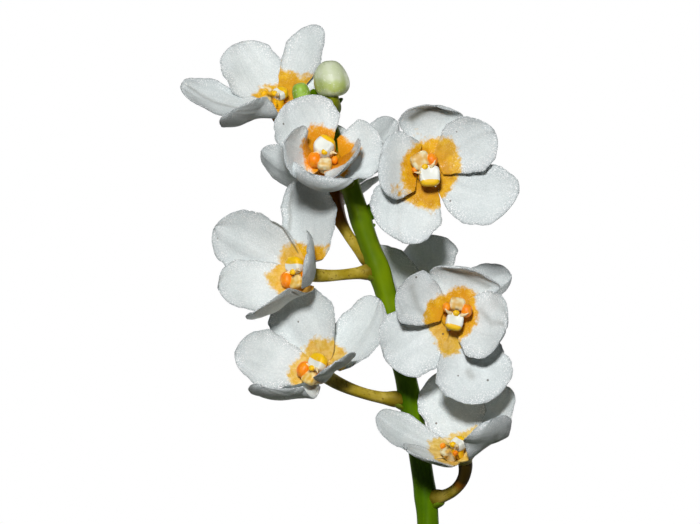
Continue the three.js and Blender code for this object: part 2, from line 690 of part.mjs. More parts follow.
const orchid = new THREE.Group();
orchid.add(meshOf("pot", pot(), TERRACOTTA));
orchid.add(meshOf("bark", bark(), BARK_BROWN));
for (const growth of GROWTHS) {
  orchid.add(meshOf(growth.name, growthBody(growth), GREEN_LEAF));
  orchid.add(meshOf(`${growth.name}_roots`, roots(growth), ROOT_GREY));
}
orchid.add(meshOf("flower_stem", flowerStem(), GREEN_STEM));
for (const flower of FLOWERS) {
  orchid.add(meshOf(`${flower.name}_tepals`, tepalRing(flower), WHITE_TEPAL));
  orchid.add(meshOf(`${flower.name}_lip`, lip(flower), LIP_YELLOW));
}
for (const each of BUDS) orchid.add(meshOf(each.name, bud(each), GREEN_BUD));

export default orchid;
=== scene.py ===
"""A sarcochilus orchid in flower, growing in bark in a plain round pot.

Sizes in this file are millimetres and angles are degrees, in the frame of the CAD model: X to the right,
Y away from the viewer, Z up, from the middle of the pot's underside. `mesh_piece` turns them into metres.
"""

import bpy
import numpy as np
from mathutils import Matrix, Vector


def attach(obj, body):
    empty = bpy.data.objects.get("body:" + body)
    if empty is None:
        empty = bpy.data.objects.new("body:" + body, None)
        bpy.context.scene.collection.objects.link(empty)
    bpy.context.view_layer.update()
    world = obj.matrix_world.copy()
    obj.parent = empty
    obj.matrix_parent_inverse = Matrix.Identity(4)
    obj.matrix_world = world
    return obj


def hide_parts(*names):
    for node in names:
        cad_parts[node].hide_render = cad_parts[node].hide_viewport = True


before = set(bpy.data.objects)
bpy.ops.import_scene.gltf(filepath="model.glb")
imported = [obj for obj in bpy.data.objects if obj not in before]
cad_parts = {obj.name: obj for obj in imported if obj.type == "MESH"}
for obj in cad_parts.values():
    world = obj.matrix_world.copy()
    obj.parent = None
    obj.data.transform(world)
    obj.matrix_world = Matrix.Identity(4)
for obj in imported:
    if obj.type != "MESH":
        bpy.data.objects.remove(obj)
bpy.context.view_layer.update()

METRES = 0.001

# Dimensions that the CAD model has too.
POT = dict(height=88, rim=54, foot=39, wall=3, floor=4, band=17, band_proud=2.5, edge=1.2)
DRAIN = dict(radius=4.5, ring=20)
BARK = dict(level=79, dome=2.5, clearance=0.75)
GROWTHS = [
    dict(name="growth_1", at=(0, 0), leaves=6, reach=98, rise=10, swing=0, roots=(55, 230, 272)),
    dict(name="growth_2", at=(-17, 18), leaves=5, reach=88, rise=8, swing=16, roots=(75, 200)),
    dict(name="growth_3", at=(16, -18), leaves=4, reach=76, rise=6, swing=-16, roots=(10, 250)),
]
CROWN = dict(radius=4, bottom=72, top=84, step=3.4, leaf_inset=1)
LEAF = dict(half_width=7.6, curl=-66, cup=30, thickness=1.5, shorter=9, steeper=6.5)
ROOT = dict(radius=1.7, route=((3.9, 81.4), (8.9, 83), (16, 82.6), (22, 80.1), (24, 75.6)))
BLADE_THICKNESS = 0.7
PETAL_LAYER = 0.45
STEM_RADIUS = dict(foot=2.3, flowering=2.15, tip=1.6)
RECEPTACLE = dict(front=2.7, back=1.5, depth=2, ring=2.2)
SPRAY_FOOT = np.array([8.4, 0, 165])
PEDUNCLE = [(0.5, -3.5, 88), (1.5, -6.5, 100), (4.5, -6, 122), (7.6, -2.5, 146)]
RACHIS = [
    (0.2, 0, 0), (-1.2, 0.6, 12.2), (-3.2, 1, 24), (-5.6, 1.4, 36), (-8.6, 1.6, 47.6),
    (-12.6, 2, 59.2), (-16.1, 2.8, 70), (-20, 4, 80), (-21.6, 4.4, 83.6),
]
WIDE_NEAR_BASE = (0.42, 0.5, 0.46)
BROAD_BASE = (0.62, 0.5, 0.42)
LEAF_OUTLINE = (0.42, 0.55, 0.62)
TEPAL_OUTLINE = (0.34, 0.6, 0.5)

# Only in this file, or other than in the CAD model. LIP is how a lip is where its flower says nothing
# else: the turn and size of its block, its two lobes, how much of it is yellow, its hood, its shift across
# and towards the dorsal side, and how orange its lobes are.
STALK_RADIUS = dict(stem=1.35, middle=1.1, ovary=1.4)
LIP = dict(turn=0, size=(2, 2, 1.5), ears=(1, 1), gilt=0, hood=1, shift=(0, 0), orange=1.0)
EDGE_WAVE = 0.03
BRACT = dict(half_width=1.7, curl=40, cup=55, thickness=0.5, uneven=0.05, groove=0, rows=16, around=24)
BUD_BRACT_HEIGHT = 82.3
FLOWER_BRACT = dict(below=2.3, inset=1.2, reach=2.6, rise=1.3, olive=0.35)
SHEATH = dict(
    start=0.35, over=2.2, slant=1.8, wide=1.15, thinner=0.1, taper=0.25, skin=0.6, opens=0.5, flat=0.8,
)
ROOT_COLLAR = dict(radius=5.7, bottom=78.6, height=4)
GOLDEN_ANGLE, GOLDEN_SHARE = 137.5, 0.6180339
# Flakes of bark: how many, their size, their rows and columns of points, how far they rise above the
# level, and how far their middles stay from the wall.
CHIPS = (
    (64, (14, 9.5, 5.5), 9, 16, 0.2, 7), (90, (8.5, 5.5, 3.4), 7, 12, 1.6, 4.5),
    (120, (4, 2.6, 1.9), 5, 8, 2.4, 3),
)


def tepal(tip, half_width, **own):
    """A tepal's tip, measured from its flower's middle, its half width, and how else it differs."""
    return dict(tip=tip, half_width=half_width, **own)


# Each flower: its middle, measured from the foot of the spray, the way that it faces (degrees to the right
# of the viewer and above level), the angle of its dorsal side, and where its stalk leaves the stem, how it
# leaves and how straight it arrives. Then the reach of its amber, how warm that is, from straw yellow at 0
# to orange at 1, how brown and how olive the stalk is, its lip and its tepals. Some tips, widths and
# stalks are a few millimetres from those of the CAD model.
FLOWERS = [
    dict(
        name="flower_1", at=(7, -9, 14.4), facing=(-20, 56), dorsal=235, stalk=(5.4, (5.5, -3, -0.6), 4.5),
        amber=6.2, warmth=0.12, brown=1, olive=0.75,
        lip=dict(size=(1.5, 1.5, 1.2), ears=(0.45, 0.5), gilt=0.4, hood=0.65, shift=(0, 1.6)),
        tepals=dict(
            dorsal=tepal((-11.4, -9, 1.8), 4.8),
            left_petal=tepal(
                (5.3, -9, 7), 5.6, roll=-35, curl=60, marks=[(((0.2, 0.5), (0.6, 0.2)), 0.6, 0.3)],
            ),
            left_sepal=tepal((9, 5, 13.6), 4.6),
            right_sepal=tepal((-3.7, 7, 16.8), 6.8),
            right_petal=tepal((-17.2, -1, 7.3), 5.8, sway=0.03),
        ),
    ),
    dict(
        name="flower_2", at=(-21, -4, 30.4), facing=(-35, 25), dorsal=250, stalk=(25, (-6, -1, -0.6), 6),
        amber=6.4, warmth=0.2, brown=0.1,
        lip=dict(size=(1.9, 1.8, 1.5), ears=(0.6, 1.4), gilt=1, shift=(-0.5, 0)),
        tepals=dict(
            dorsal=tepal(
                (-12, -8, -2.3), 6.6, roll=40, curl=110, sway=0.08, amber=3,
                marks=[(((0.02, -0.7), (0.06, 0.7)), 0.9, 0.6)],
            ),
            left_petal=tepal((3, -12, 2.2), 4.8, roll=-35),
            left_sepal=tepal(
                (11.3, 1, 14.9), 6.3, sway=-0.06, outline=BROAD_BASE,
                marks=[(((0.3, 0.94), (0.07, 0.46)), 0.22, 0.7)],
            ),
            right_sepal=tepal((-6.7, 3.2, 16.8), 7.3),
            right_petal=tepal((-16.9, -2, 4.4), 6),
        ),
    ),
    dict(
        name="flower_3", at=(5, -12, 41.6), facing=(4, 4), dorsal=80, stalk=(33, (4, -5, 3), 4),
        amber=6.2, warmth=0.7, brown=0.2,
        lip=dict(turn=-4, size=(1.7, 1.75, 1.4), ears=(0.8, 1.1)),
        tepals=dict(
            dorsal=tepal(
                (2.6, -4, 9.2), 7.3, curl=60, hook=80, amber=1.2, warm=0.2,
                marks=[(((0.74, 0.6), (0.62, 0), (0.55, -0.7)), 0.7, 0.45)],
            ),
            left_petal=tepal(
                (-11.2, -4, 5.4), 5.6, warm=0.1, marks=[(((0.75, -0.3), (0.5, 0.2), (0.3, 0.5)), 0.8, 0.3)],
            ),
            left_sepal=tepal((-13.7, -2, -7.9), 7.3, warm=-0.3),
            right_sepal=tepal(
                (6.3, -3, -16.8), 7.7, warm=-0.35, marks=[(((0.56, -0.12), (0.62, -0.1)), 0.8, 0.35)],
            ),
            right_petal=tepal(
                (10.1, -5.6, -2.5), 7.1, amber=1.2, warm=0.1, outline=BROAD_BASE,
                marks=[(((0.25, 0.4), (0.6, 0.1), (0.9, 0.2)), 0.6, 0.3)],
            ),
        ),
    ),
    dict(
        name="flower_4", at=(-24.2, -4, 50.2), facing=(-42, 10), dorsal=285, stalk=(50.7, (-5, -1, -0.6), 4),
        amber=6.6, warmth=0.3, brown=0,
        lip=dict(turn=-15, size=(1.9, 1.7, 1.5), ears=(0.5, 1.4), gilt=1),
        tepals=dict(
            dorsal=tepal(
                (-10.8, -8, -7.6), 6, curl=60, roll=45, outline=(0.6, 0.45, 0.5),
                marks=[(((0.39, 0.82), (0.07, 0.24)), 0.22, 0.9)],
            ),
            left_petal=tepal((0.8, -12, 4), 6.2, roll=-10, cup=36),
            left_sepal=tepal(
                (-0.6, 2, 19.2), 7.6, amber=1.12, warm=0.4, sway=-0.05, outline=BROAD_BASE,
                marks=[(((0.42, 0.95), (0.17, 0.57)), 0.25, 0.95), (((0.85, 0.7), (0.42, 0.8)), 0.4, 0.35)],
            ),
            right_sepal=tepal(
                (-18.4, -1, 9.2), 6.8, marks=[(((0.48, -0.98), (0.3, -0.93), (0.1, -0.8)), 0.28, 0.85)],
            ),
            right_petal=tepal((-17.1, -4, -3.2), 6),
        ),
    ),
    dict(
        name="flower_5", at=(2.2, 8, 44.8), facing=(165, 10), dorsal=90, stalk=(42, (4, 3, 2), 4),
        amber=6, warmth=0.7, brown=0.3,
        tepals=dict(
            dorsal=tepal((-2.6, 3, 13.1), 6.3),
            left_petal=tepal((14.9, 3, 5.1), 4),
            left_sepal=tepal((8, 4, -10), 5.6),
            right_sepal=tepal((-7, 5, -10), 5.6),
            right_petal=tepal((-14.6, 3, 9.6), 4.4),
        ),
    ),
    dict(
        name="flower_6", at=(0, -11, 70.2), facing=(4, 4), dorsal=120, stalk=(61, (1.2, 4, 1), 4),
        amber=6.7, warmth=0.75, brown=0.2, olive=0.15,
        lip=dict(turn=-28, size=(2, 2.1, 1.5), ears=(0.5, 1.1), hood=1.25, shift=(-0.6, 0.1)),
        tepals=dict(
            dorsal=tepal(
                (1.3, -4, 12.8), 6.6, curl=50, hook=80,
                marks=[(((0.62, 0.6), (0.84, 0.1), (0.88, -0.5)), 0.9, 0.75)],
            ),
            left_petal=tepal(
                (-9.8, -3.9, 1.9), 6.7, curl=40, hook=-50, cup=10, outline=(0.7, 0.6, 0.4),
                amber=1.02, warm=0.1,
            ),
            left_sepal=tepal((-5.2, -3, -13.9), 7.5, amber=0.88, sway=-0.13, outline=WIDE_NEAR_BASE),
            right_sepal=tepal(
                (17.8, -3, -4.2), 6.5, amber=1.1, warm=-0.15, sway=-0.13, outline=WIDE_NEAR_BASE,
            ),
            right_petal=tepal((13, -3, 7.5), 5.9, sway=0.05, amber=1.05, warm=-0.25),
        ),
    ),
    dict(
        name="flower_7", at=(-19.8, -9, 72.8), facing=(0, 40), dorsal=270, stalk=(69.5, (-1.5, -4, 0), 3.5),
        amber=6.4, warmth=1, brown=0.6,
        lip=dict(turn=-38, size=(1.95, 1.9, 2.2), ears=(0.6, 1.25), gilt=0.3, hood=0.95, shift=(0.6, 1.6)),
        tepals=dict(
            dorsal=tepal((-3.8, -11, -2.7), 9, curl=135, cup=64, roll=-7),
            left_petal=tepal((5.2, -9.5, -0.4), 5.6, roll=20),
            left_sepal=tepal((11, -2, 2.6), 7.8, outline=BROAD_BASE, amber=1.06),
            right_sepal=tepal((-7, 1, 12), 7.6, amber=0.87),
            right_petal=tepal((-8.4, -8.5, 2.4), 5.5, roll=-40),
        ),
    ),
    dict(
        name="flower_8", at=(-18.8, 9, 66.8), facing=(180, 45), dorsal=90, stalk=(51.3, (-4.8, 2, 3.4), 5),
        amber=6.5, warmth=0.7, brown=0.7, ovary=2,
        tepals=dict(
            dorsal=tepal((-1, 0, 14), 5),
            left_petal=tepal((12.6, 2, 14.2), 5),
            left_sepal=tepal((8, 14, 2.5), 5.6),
            right_sepal=tepal((-8, 14, 2.5), 5.6),
            right_petal=tepal((-14.6, -1, 7.8), 5),
        ),
    ),
    dict(
        name="flower_9", at=(-30, 1, 83.2), facing=(-8, 56), dorsal=225, stalk=(78, (-5, -1, -0.5), 1.5),
        amber=6.5, warmth=0.55, brown=0.6,
        lip=dict(size=(1.5, 1.5, 1.2), ears=(0.25, 0.65), gilt=1, hood=0.7, orange=0.3),
        tepals=dict(
            dorsal=tepal(
                (-9, -9.6, -0.8), 6.2, amber=1.2, roll=50, outline=WIDE_NEAR_BASE,
                marks=[(((0.9, 0.3), (0.5, 0.5)), 0.5, 0.4)],
            ),
            left_petal=tepal((7.6, 3, 6.8), 4.2),
            left_sepal=tepal((8, 2, 17.2), 4.8, amber=0.66, sway=0.05),
            right_sepal=tepal((-8.2, 5, 13.8), 6.8),
            right_petal=tepal(
                (-19.2, -3, 3.9), 6.4, amber=1.5, sway=0.06,
                marks=[(((0.9, -0.3), (0.55, 0), (0.2, 0.1)), 0.5, 0.35)],
            ),
        ),
    ),
]
BUDS = [
    dict(
        name="bud_1", at=(-25, -4.6, 85.6), radius=1.8, half_length=2.4, points=(-0.25, -0.2, 1), ripe=0,
        stalk=(79, (-2, 0, 1), 1.5), stalk_radius=0.9, scale=(-1.7, -5, 4.6),
    ),
    dict(
        name="bud_2", at=(-19.3, -3, 88.9), radius=3.5, half_length=3.6, points=(-0.05, -0.1, 1), ripe=1,
        stalk=(82, (3.6, 0, 1), 2.4), stalk_radius=1.45, scale=(4.2, -1, 3),
    ),
]

# The camera and the light, which the photograph sets. A lamp is its place, its power and its width.
CAMERA = dict(at=(-7, -700, 217.4), frame_width=140, distance=700, sensor=36)
LAMPS = dict(
    key=((-60, -600, 450), 4.0, 80), overhead=((0, 200, 2600), 2.5, 2400),
    left_fill=((-750, 800, 400), 3.4, 500), right_fill=((750, 800, 400), 3.4, 500),
)
LAMPS_AIM = (-7, 0, 200)
SURROUND = dict(light=(1, 0.98, 0.88, 1), strength=0.015)
FLOOR = dict(half_width=1500, points=13, below=0.05, glow=0.7)
WHITE = (1, 1, 1, 1)


# Small helpers
def unit(v):
    """v divided by its length."""
    return v / np.linalg.norm(v, axis=-1, keepdims=True)


def sine(degrees):
    return np.sin(np.radians(degrees))


def cosine(degrees):
    return np.cos(np.radians(degrees))


def circle(count):
    """Angles round a circle in even steps, in radians."""
    return np.linspace(0, 2 * np.pi, count, endpoint=False)


def smooth(t):
    """3t^2 - 2t^3 between 0 and 1, flat outside."""
    t = np.clip(t, 0, 1)
    return t * t * (3 - 2 * t)


def swell(points, size, seed):
    """A soft random height between about -1 and 1 at each point: the mean of nine sine waves that run in
    random directions and repeat about every `size`."""
    random = np.random.default_rng(seed)
    waves = unit(random.normal(size=(9, points.shape[-1]))) * random.uniform(0.6, 1.5, (9, 1))
    phases = random.uniform(0, 2 * np.pi, 9)
    return np.sin(points @ waves.T * (2 * np.pi / size) + phases).mean(axis=-1) * 2


# Surfaces as arrays
def skin(rings, **facts):
    """A closed surface through rings of points, one ring to a row. Neighbours on neighbouring rings are
    joined by quads, the last column meets the first, and a fan round the mean of the end ring closes each
    end. Its faces are turned so that the volume that they enclose is positive. `facts` are numbers for
    each point that the materials read."""
    rows, columns = rings.shape[:2]
    here = np.arange(rows * columns).reshape(rows, columns)
    beside = np.roll(here, -1, axis=1)
    quads = np.stack([here[:-1], beside[:-1], beside[1:], here[1:]], axis=-1).reshape(-1, 4)
    first, last = rows * columns, rows * columns + 1
    fans = np.concatenate([
        np.stack([np.full(columns, first), beside[0], here[0]], axis=-1),
        np.stack([np.full(columns, last), here[-1], beside[-1]], axis=-1),
    ])
    points = np.concatenate([rings.reshape(-1, 3), [rings[0].mean(axis=0), rings[-1].mean(axis=0)]])
    corners = np.concatenate([quads[:, :3], quads[:, [0, 2, 3]], fans])
    a, b, c = (points[corners[:, k]] - points[0] for k in range(3))
    if np.einsum("ij,ij->i", a, np.cross(b, c)).sum() < 0:
        quads, fans = quads[:, ::-1], fans[:, ::-1]
    numbers = {}
    for name, value in facts.items():
        grid = np.broadcast_to(value, (rows, columns)).astype(float)
        numbers[name] = np.concatenate([grid.reshape(-1), [grid[0].mean(), grid[-1].mean()]])
    return dict(points=points, quads=quads, fans=fans, facts=numbers)


def patch(grid, closed=False):
    """An open surface through a grid of points, whose last column meets the first if it is closed."""
    rows, columns = grid.shape[:2]
    here = np.arange(rows * columns).reshape(rows, columns)
    beside = np.roll(here, -1, axis=1)
    quads = np.stack([here[:-1], beside[:-1], beside[1:], here[1:]], axis=-1)
    quads = (quads if closed else quads[:, :-1]).reshape(-1, 4)
    return dict(points=grid.reshape(-1, 3), quads=quads, fans=np.empty((0, 3), int), facts={})


def joined(parts):
    """Several surfaces as one: their points in a row, and their faces counted on from there."""
    starts = np.cumsum([0] + [len(part["points"]) for part in parts[:-1]])
    names = {name for part in parts for name in part["facts"]}
    blank = [np.zeros(len(part["points"])) for part in parts]
    return dict(
        points=np.concatenate([part["points"] for part in parts]),
        quads=np.concatenate([part["quads"] + start for part, start in zip(parts, starts)]),
        fans=np.concatenate([part["fans"] + start for part, start in zip(parts, starts)]),
        facts={
            name: np.concatenate([part["facts"].get(name, zero) for part, zero in zip(parts, blank)])
            for name in names
        },
    )


def welded(part):
    """The surface with the points that coincide, to a thousandth of a millimetre, made one."""
    points, index = np.unique(part["points"].round(3), axis=0, return_inverse=True)
    index = index.reshape(-1)
    return dict(points=points, quads=index[part["quads"]], fans=index[part["fans"]], facts={})


def placed(name, data):
    """An object of that data, in the scene."""
    thing = bpy.data.objects.new(name, data)
    bpy.context.scene.collection.objects.link(thing)
    return thing


def mesh_piece(name, parts, finish, nodes):
    """One object of the given surfaces that rides on the plant and stands for the CAD nodes."""
    whole = joined(parts)
    mesh = bpy.data.meshes.new(name)
    mesh.from_pydata(whole["points"] * METRES, [], whole["quads"].tolist() + whole["fans"].tolist())
    for fact, values in whole["facts"].items():
        mesh.attributes.new(fact, "FLOAT", "POINT").data.foreach_set("value", values.astype(np.float32))
    mesh.polygons.foreach_set("use_smooth", np.full(len(mesh.polygons), True))
    mesh.materials.append(finish)
    mesh.update()
    thing = placed(name, mesh)
    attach(thing, "root")
    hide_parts(*nodes)


def smooth_curve(points, count):
    """A curve through the points: on each stretch a cubic whose end slopes are those of a centripetal
    Catmull-Rom spline, with the two ends carried on straight, sampled at `count` even steps of its
    length."""
    p = np.array(points, float)
    p = np.concatenate([[2 * p[0] - p[1]], p, [2 * p[-1] - p[-2]]])
    gap = np.linalg.norm(np.diff(p, axis=0), axis=1)[:, None] ** 0.5
    before, across, after = gap[:-2], gap[1:-1], gap[2:]
    a, b, c, d = p[:-3], p[1:-2], p[2:-1], p[3:]
    start = ((b - a) / before - (c - a) / (before + across) + (c - b) / across) * across
    end = ((c - b) / across - (d - b) / (across + after) + (d - c) / after) * across
    t = np.linspace(0, 1, 60, endpoint=False)[:, None, None]
    cubic = b + start * t + (3 * (c - b) - 2 * start - end) * t**2 + (2 * (b - c) + start + end) * t**3
    dense = np.concatenate([cubic.transpose(1, 0, 2).reshape(-1, 3), p[-2:-1]])
    return evened(dense, count)


def evened(points, count):
    """The points of a line, moved along it to `count` even steps."""
    length = np.concatenate([[0], np.cumsum(np.linalg.norm(np.diff(points, axis=0), axis=1))])
    wanted = np.linspace(0, length[-1], count)
    return np.stack([np.interp(wanted, length, points[:, k]) for k in range(3)], axis=-1)


def bezier(start, leave, arrive, end, count):
    """The cubic curve from start to end that sets out to `leave` and comes in from `arrive`."""
    t = np.linspace(0, 1, 200)[:, None]
    line = (1 - t) ** 3 * start + 3 * (1 - t) ** 2 * t * leave + 3 * (1 - t) * t**2 * arrive + t**3 * end
    return evened(line, count)


def tube(line, radius, around=20, **facts):
    """Rings round a line. Each ring lies square to the line there, and is turned from a direction that is
    square to the line's own bend. `radius` is one number, one for each ring, or one for each point."""
    along = unit(np.gradient(line, axis=0))
    bend = np.cross(along[0], along[-1])
    if np.linalg.norm(bend) < 0.05:
        bend = np.cross(along[0], np.eye(3)[np.argmin(np.abs(along[0]))])
    across = unit(np.cross(bend, along))
    other = np.cross(along, across)
    turn = circle(around)[None, :, None]
    spoke = across[:, None] * np.cos(turn) + other[:, None] * np.sin(turn)
    radius = np.asarray(radius, float)
    radius = radius[:, None, None] if radius.ndim == 1 else radius[..., None] if radius.ndim == 2 else radius
    return skin(line[:, None] + spoke * radius, **facts)


def rounded_block(at, axes, size, power=2.0, rows=18, around=28, bulge=None, **facts):
    """The closed surface |x/a|^p + |y/b|^p + |z/c|^p = 1 in its own three axes, in rings from one end of
    the third axis to the other. p is 2 for an egg and grows towards a box. `bulge` adds to z/c."""
    polar = np.radians(np.linspace(2, 178, rows))[:, None]
    turn = circle(around)[None]
    ball = np.stack(
        [np.sin(polar) * np.cos(turn), np.sin(polar) * np.sin(turn), np.cos(polar) * np.ones_like(turn)], -1
    )
    ball = ball / (np.abs(ball) ** power).sum(axis=-1, keepdims=True) ** (1 / power)
    facts = {name: value(ball) if callable(value) else value for name, value in facts.items()}
    if bulge:
        ball = ball + bulge(ball)[..., None] * [0, 0, 1]
    return skin(at + (ball * size) @ np.asarray(axes), **facts)


# Petals, sepals and leaves
def outline_share(u, base, widest, blunt):
    """A blade's half width as a share of its widest: a quarter sine from `base` up to the widest place,
    then (1 - x^2)^blunt from there to the tip."""
    x = np.clip((u - widest) / (1 - widest), 0, 1)
    return np.where(u < widest, base + (1 - base) * np.sin(np.pi / 2 * u / widest), (1 - x**2) ** blunt)


def straying(distance, seed):
    """How far an edge strays at each distance from the root, as a share of the width: three sine waves."""
    random = np.random.default_rng(seed + 900)
    waves = [
        high * np.sin(distance * 2 * np.pi / random.uniform(*span) + random.uniform(0, 7))
        for high, span in ((0.035, (7, 11)), (0.022, (3, 5)), (0.009, (1.2, 2)))
    ]
    return sum(waves)


def folds(u, v, seed):
    """Four long folds, each a bell curve across the blade that drifts sideways and grows towards the tip."""
    random = np.random.default_rng(seed + 400)
    bells = [
        high * np.exp(-(((v - random.uniform(-0.8, 0.8) - random.uniform(-0.3, 0.3) * u) / wide) ** 2))
        for high, wide in ((0.8, 0.3), (-0.7, 0.22), (0.6, 0.16), (-0.5, 0.12))
    ]
    return sum(bells) * smooth(1.6 * u)


def stroke(u, v, places, length, half_width):
    """The distance in millimetres from each point of a blade to the line through the places."""
    spot = np.concatenate(np.broadcast_arrays(u * length, v * half_width), axis=-1)
    corners = np.array(places, float) * [length, half_width]
    gaps = []
    for start, end in zip(corners[:-1], corners[1:]):
        step = end - start
        share = np.clip((spot - start) @ step / (step @ step), 0, 1)[..., None]
        gaps.append(np.linalg.norm(spot - start - share * step, axis=-1, keepdims=True))
    return np.min(gaps, axis=0)


def bent_line(u, curl, hook):
    """A midrib from (0, 0) to (1, 0): the running sum of small steps whose direction turns by
    curl*t + hook*t^4, divided, as complex numbers, by its own end. Gives how far along it is, how high,
    and its slope in degrees at each u."""
    steps = 240
    t = (np.arange(steps) + 0.5) / steps
    line = np.concatenate([[0], np.cumsum(np.exp(1j * np.radians(curl * t + hook * t**4)))])
    line, start = line / line[-1], np.degrees(np.angle(line[-1]))
    knots = np.linspace(0, 1, steps + 1)
    return np.interp(u, knots, line.real), np.interp(u, knots, line.imag), curl * u + hook * u**4 - start


def blade(
    root, tip, face, half_width, curl=34, hook=0, roll=0, cup=22, sway=0, outline=TEPAL_OUTLINE,
    thickness=BLADE_THICKNESS, rows=56, around=76, seed=0, groove=0.16, keel=0.0, uneven=0.3, ragged=1.0,
    marks=(), **facts
):
    """A petal, sepal or leaf as one closed skin. Row u runs from root to tip, and a point at turn q of its
    ring lies at v = cos q from edge to edge, on the front where sin q > 0. Along, it follows a bent line.
    Across, it is an arc whose edges lean `cup` degrees to the front. `roll` turns its outer half about the
    midrib, `sway` bows it sideways by 4u(1 - u), and its edges ripple by v^2 sin(9u + 2v). The
    surface is then raised along its normal by half the thickness times |sin q|^0.8, less a groove down the
    middle of the front, plus a keel down the middle of the back. Both faces share a soft swell and a few
    long folds, and the two edges stray from the outline by a few hundredths of its width. `marks` are
    strokes: the places (u, v) that each passes, its width in millimetres and its strength. Each sinks the
    front a little and is darkened in the material. That darkening is painted shade in creases, under rolled
    rims and in the slits between tepals, and in one stroke the colour of a real smudge."""
    root, tip = np.asarray(root, float), np.asarray(tip, float)
    length, out = np.linalg.norm(tip - root), unit(tip - root)
    inner = unit(face - out * (face @ out))
    side = np.cross(inner, out)
    u = (0.9985 * (1 - (1 - np.linspace(0, 1, rows)) ** 1.5))[:, None, None]
    q = circle(around)[None, :, None]
    v, front = np.cos(q), np.sin(q) > 0
    along, rise, slope = bent_line(u, curl, hook)
    upright = inner * cosine(slope) - out * sine(slope)
    turned = roll * smooth(u / 0.5)
    facing = upright * cosine(turned) - side * sine(turned)
    sideways = side * cosine(turned) + upright * sine(turned)
    bend = np.radians(cup)
    width = half_width * outline_share(u, *outline)
    stray = straying(u * length, seed) * (1 + v) / 2 + straying(u * length, seed + 50) * (1 - v) / 2
    across = width * (1 + ragged * stray) * np.sin(bend * v) / bend + sway * length * 4 * u * (1 - u)
    lift = width * (1 - np.cos(bend * v)) / bend + EDGE_WAVE * half_width * v**2 * np.sin(9 * u + 2 * v)
    spot = np.concatenate([u * length + 0 * v, width * v], axis=-1)
    lift = lift + uneven * swell(spot, 11, seed)[..., None] * np.minimum(1, 3 * u) * (0.4 + v**2)
    lift = lift + 0.7 * uneven * folds(u, v, seed)
    normal = facing * np.cos(bend * v) - sideways * np.sin(bend * v)
    fade = (1 - u**14) ** 0.5
    half = thickness / 2 * np.sign(np.sin(q)) * np.abs(np.sin(q)) ** 0.8 * fade
    crease = np.exp(-((v / 0.11) ** 2)) * fade * np.minimum(1, 6 * u)
    half = half - np.where(front, groove * crease * (1 - 0.7 * u), keel * crease)
    rings = root + out * along * length + inner * rise * length + sideways * across + facing * lift
    # The strokes sink the front and feed a fact that darkens it: painted shade in creases, under rolled rims
    # and in slits between tepals, and one real smudge.
    crease = np.zeros(v.shape)
    for places, mark_width, strength in marks:
        gap = stroke(u, v, places, length, half_width)
        crease = np.maximum(crease, strength * np.exp(-((gap / mark_width) ** 2)))
    half = half - np.where(front, 0.3, -0.3) * crease
    edge = np.minimum(width * (1 - np.abs(v)), (1 - u) * length)
    facts = {name: value(rings) if callable(value) else value for name, value in facts.items()}
    return skin(
        rings + normal * half, along=u[..., 0], across=v[..., 0], front=front[..., 0] * 1.0,
        rim=np.clip(1 - edge / 3, 0, 1)[..., 0], mark=crease[..., 0], **facts,
    )


def flower_axes(facing):
    """The way that a flower looks, the way that its top would point if it were level, and its right."""
    azimuth, elevation = facing
    face = np.array([
        sine(azimuth) * cosine(elevation), -cosine(azimuth) * cosine(elevation), sine(elevation),
    ])
    up = unit(np.array([0, 0, 1]) - face * face[2])
    return face, up, np.cross(up, face)


def stain(away, reach, seed):
    """How far out each point lies as a share of the reach of the amber, which swells and shrinks by 18%."""
    return np.linalg.norm(away, axis=-1) / reach * (1 + 0.18 * swell(away, 9, seed + 60))


def tepals(flower, seed):
    """The five tepals of a flower, petals in front of sepals, and the green cup that they grow from. Each
    point knows how far it is from the flower's middle as a share of the reach of the amber."""
    face, _, _ = flower_axes(flower["facing"])
    middle = SPRAY_FOOT + flower["at"]
    parts = []
    for k, (name, own) in enumerate(flower["tepals"].items()):
        shape = dict(own)
        tip, amber, warm = np.array(shape.pop("tip"), float), shape.pop("amber", 1), shape.pop("warm", 0)
        heart = middle + face * (PETAL_LAYER if name.endswith("petal") else -PETAL_LAYER)
        root = heart + unit(tip - face * (tip @ face)) * RECEPTACLE["ring"]
        parts.append(blade(
            root, heart + tip, face, seed=seed * 7 + k, tepal=seed + k * 0.17, warmth=flower["warmth"] + warm,
            amber=lambda rings: stain(rings - middle, flower["amber"], seed) * amber, **shape,
        ))
    depth = np.linspace(0.5, -RECEPTACLE["depth"] + BLADE_THICKNESS / 2, 12)
    share = np.linspace(0, 1, 12)
    radius = RECEPTACLE["front"] + (RECEPTACLE["back"] - RECEPTACLE["front"]) * smooth(share)
    parts.append(tube(
        middle + depth[:, None] * face, radius * np.minimum(1, 0.75 + 2 * share), 28,
        amber=np.where(share < 0.3, 0.3, 3)[:, None], cup=smooth(share * 2)[:, None],
        front=(share < 0.3)[:, None], warmth=flower["warmth"],
    ))
    return parts


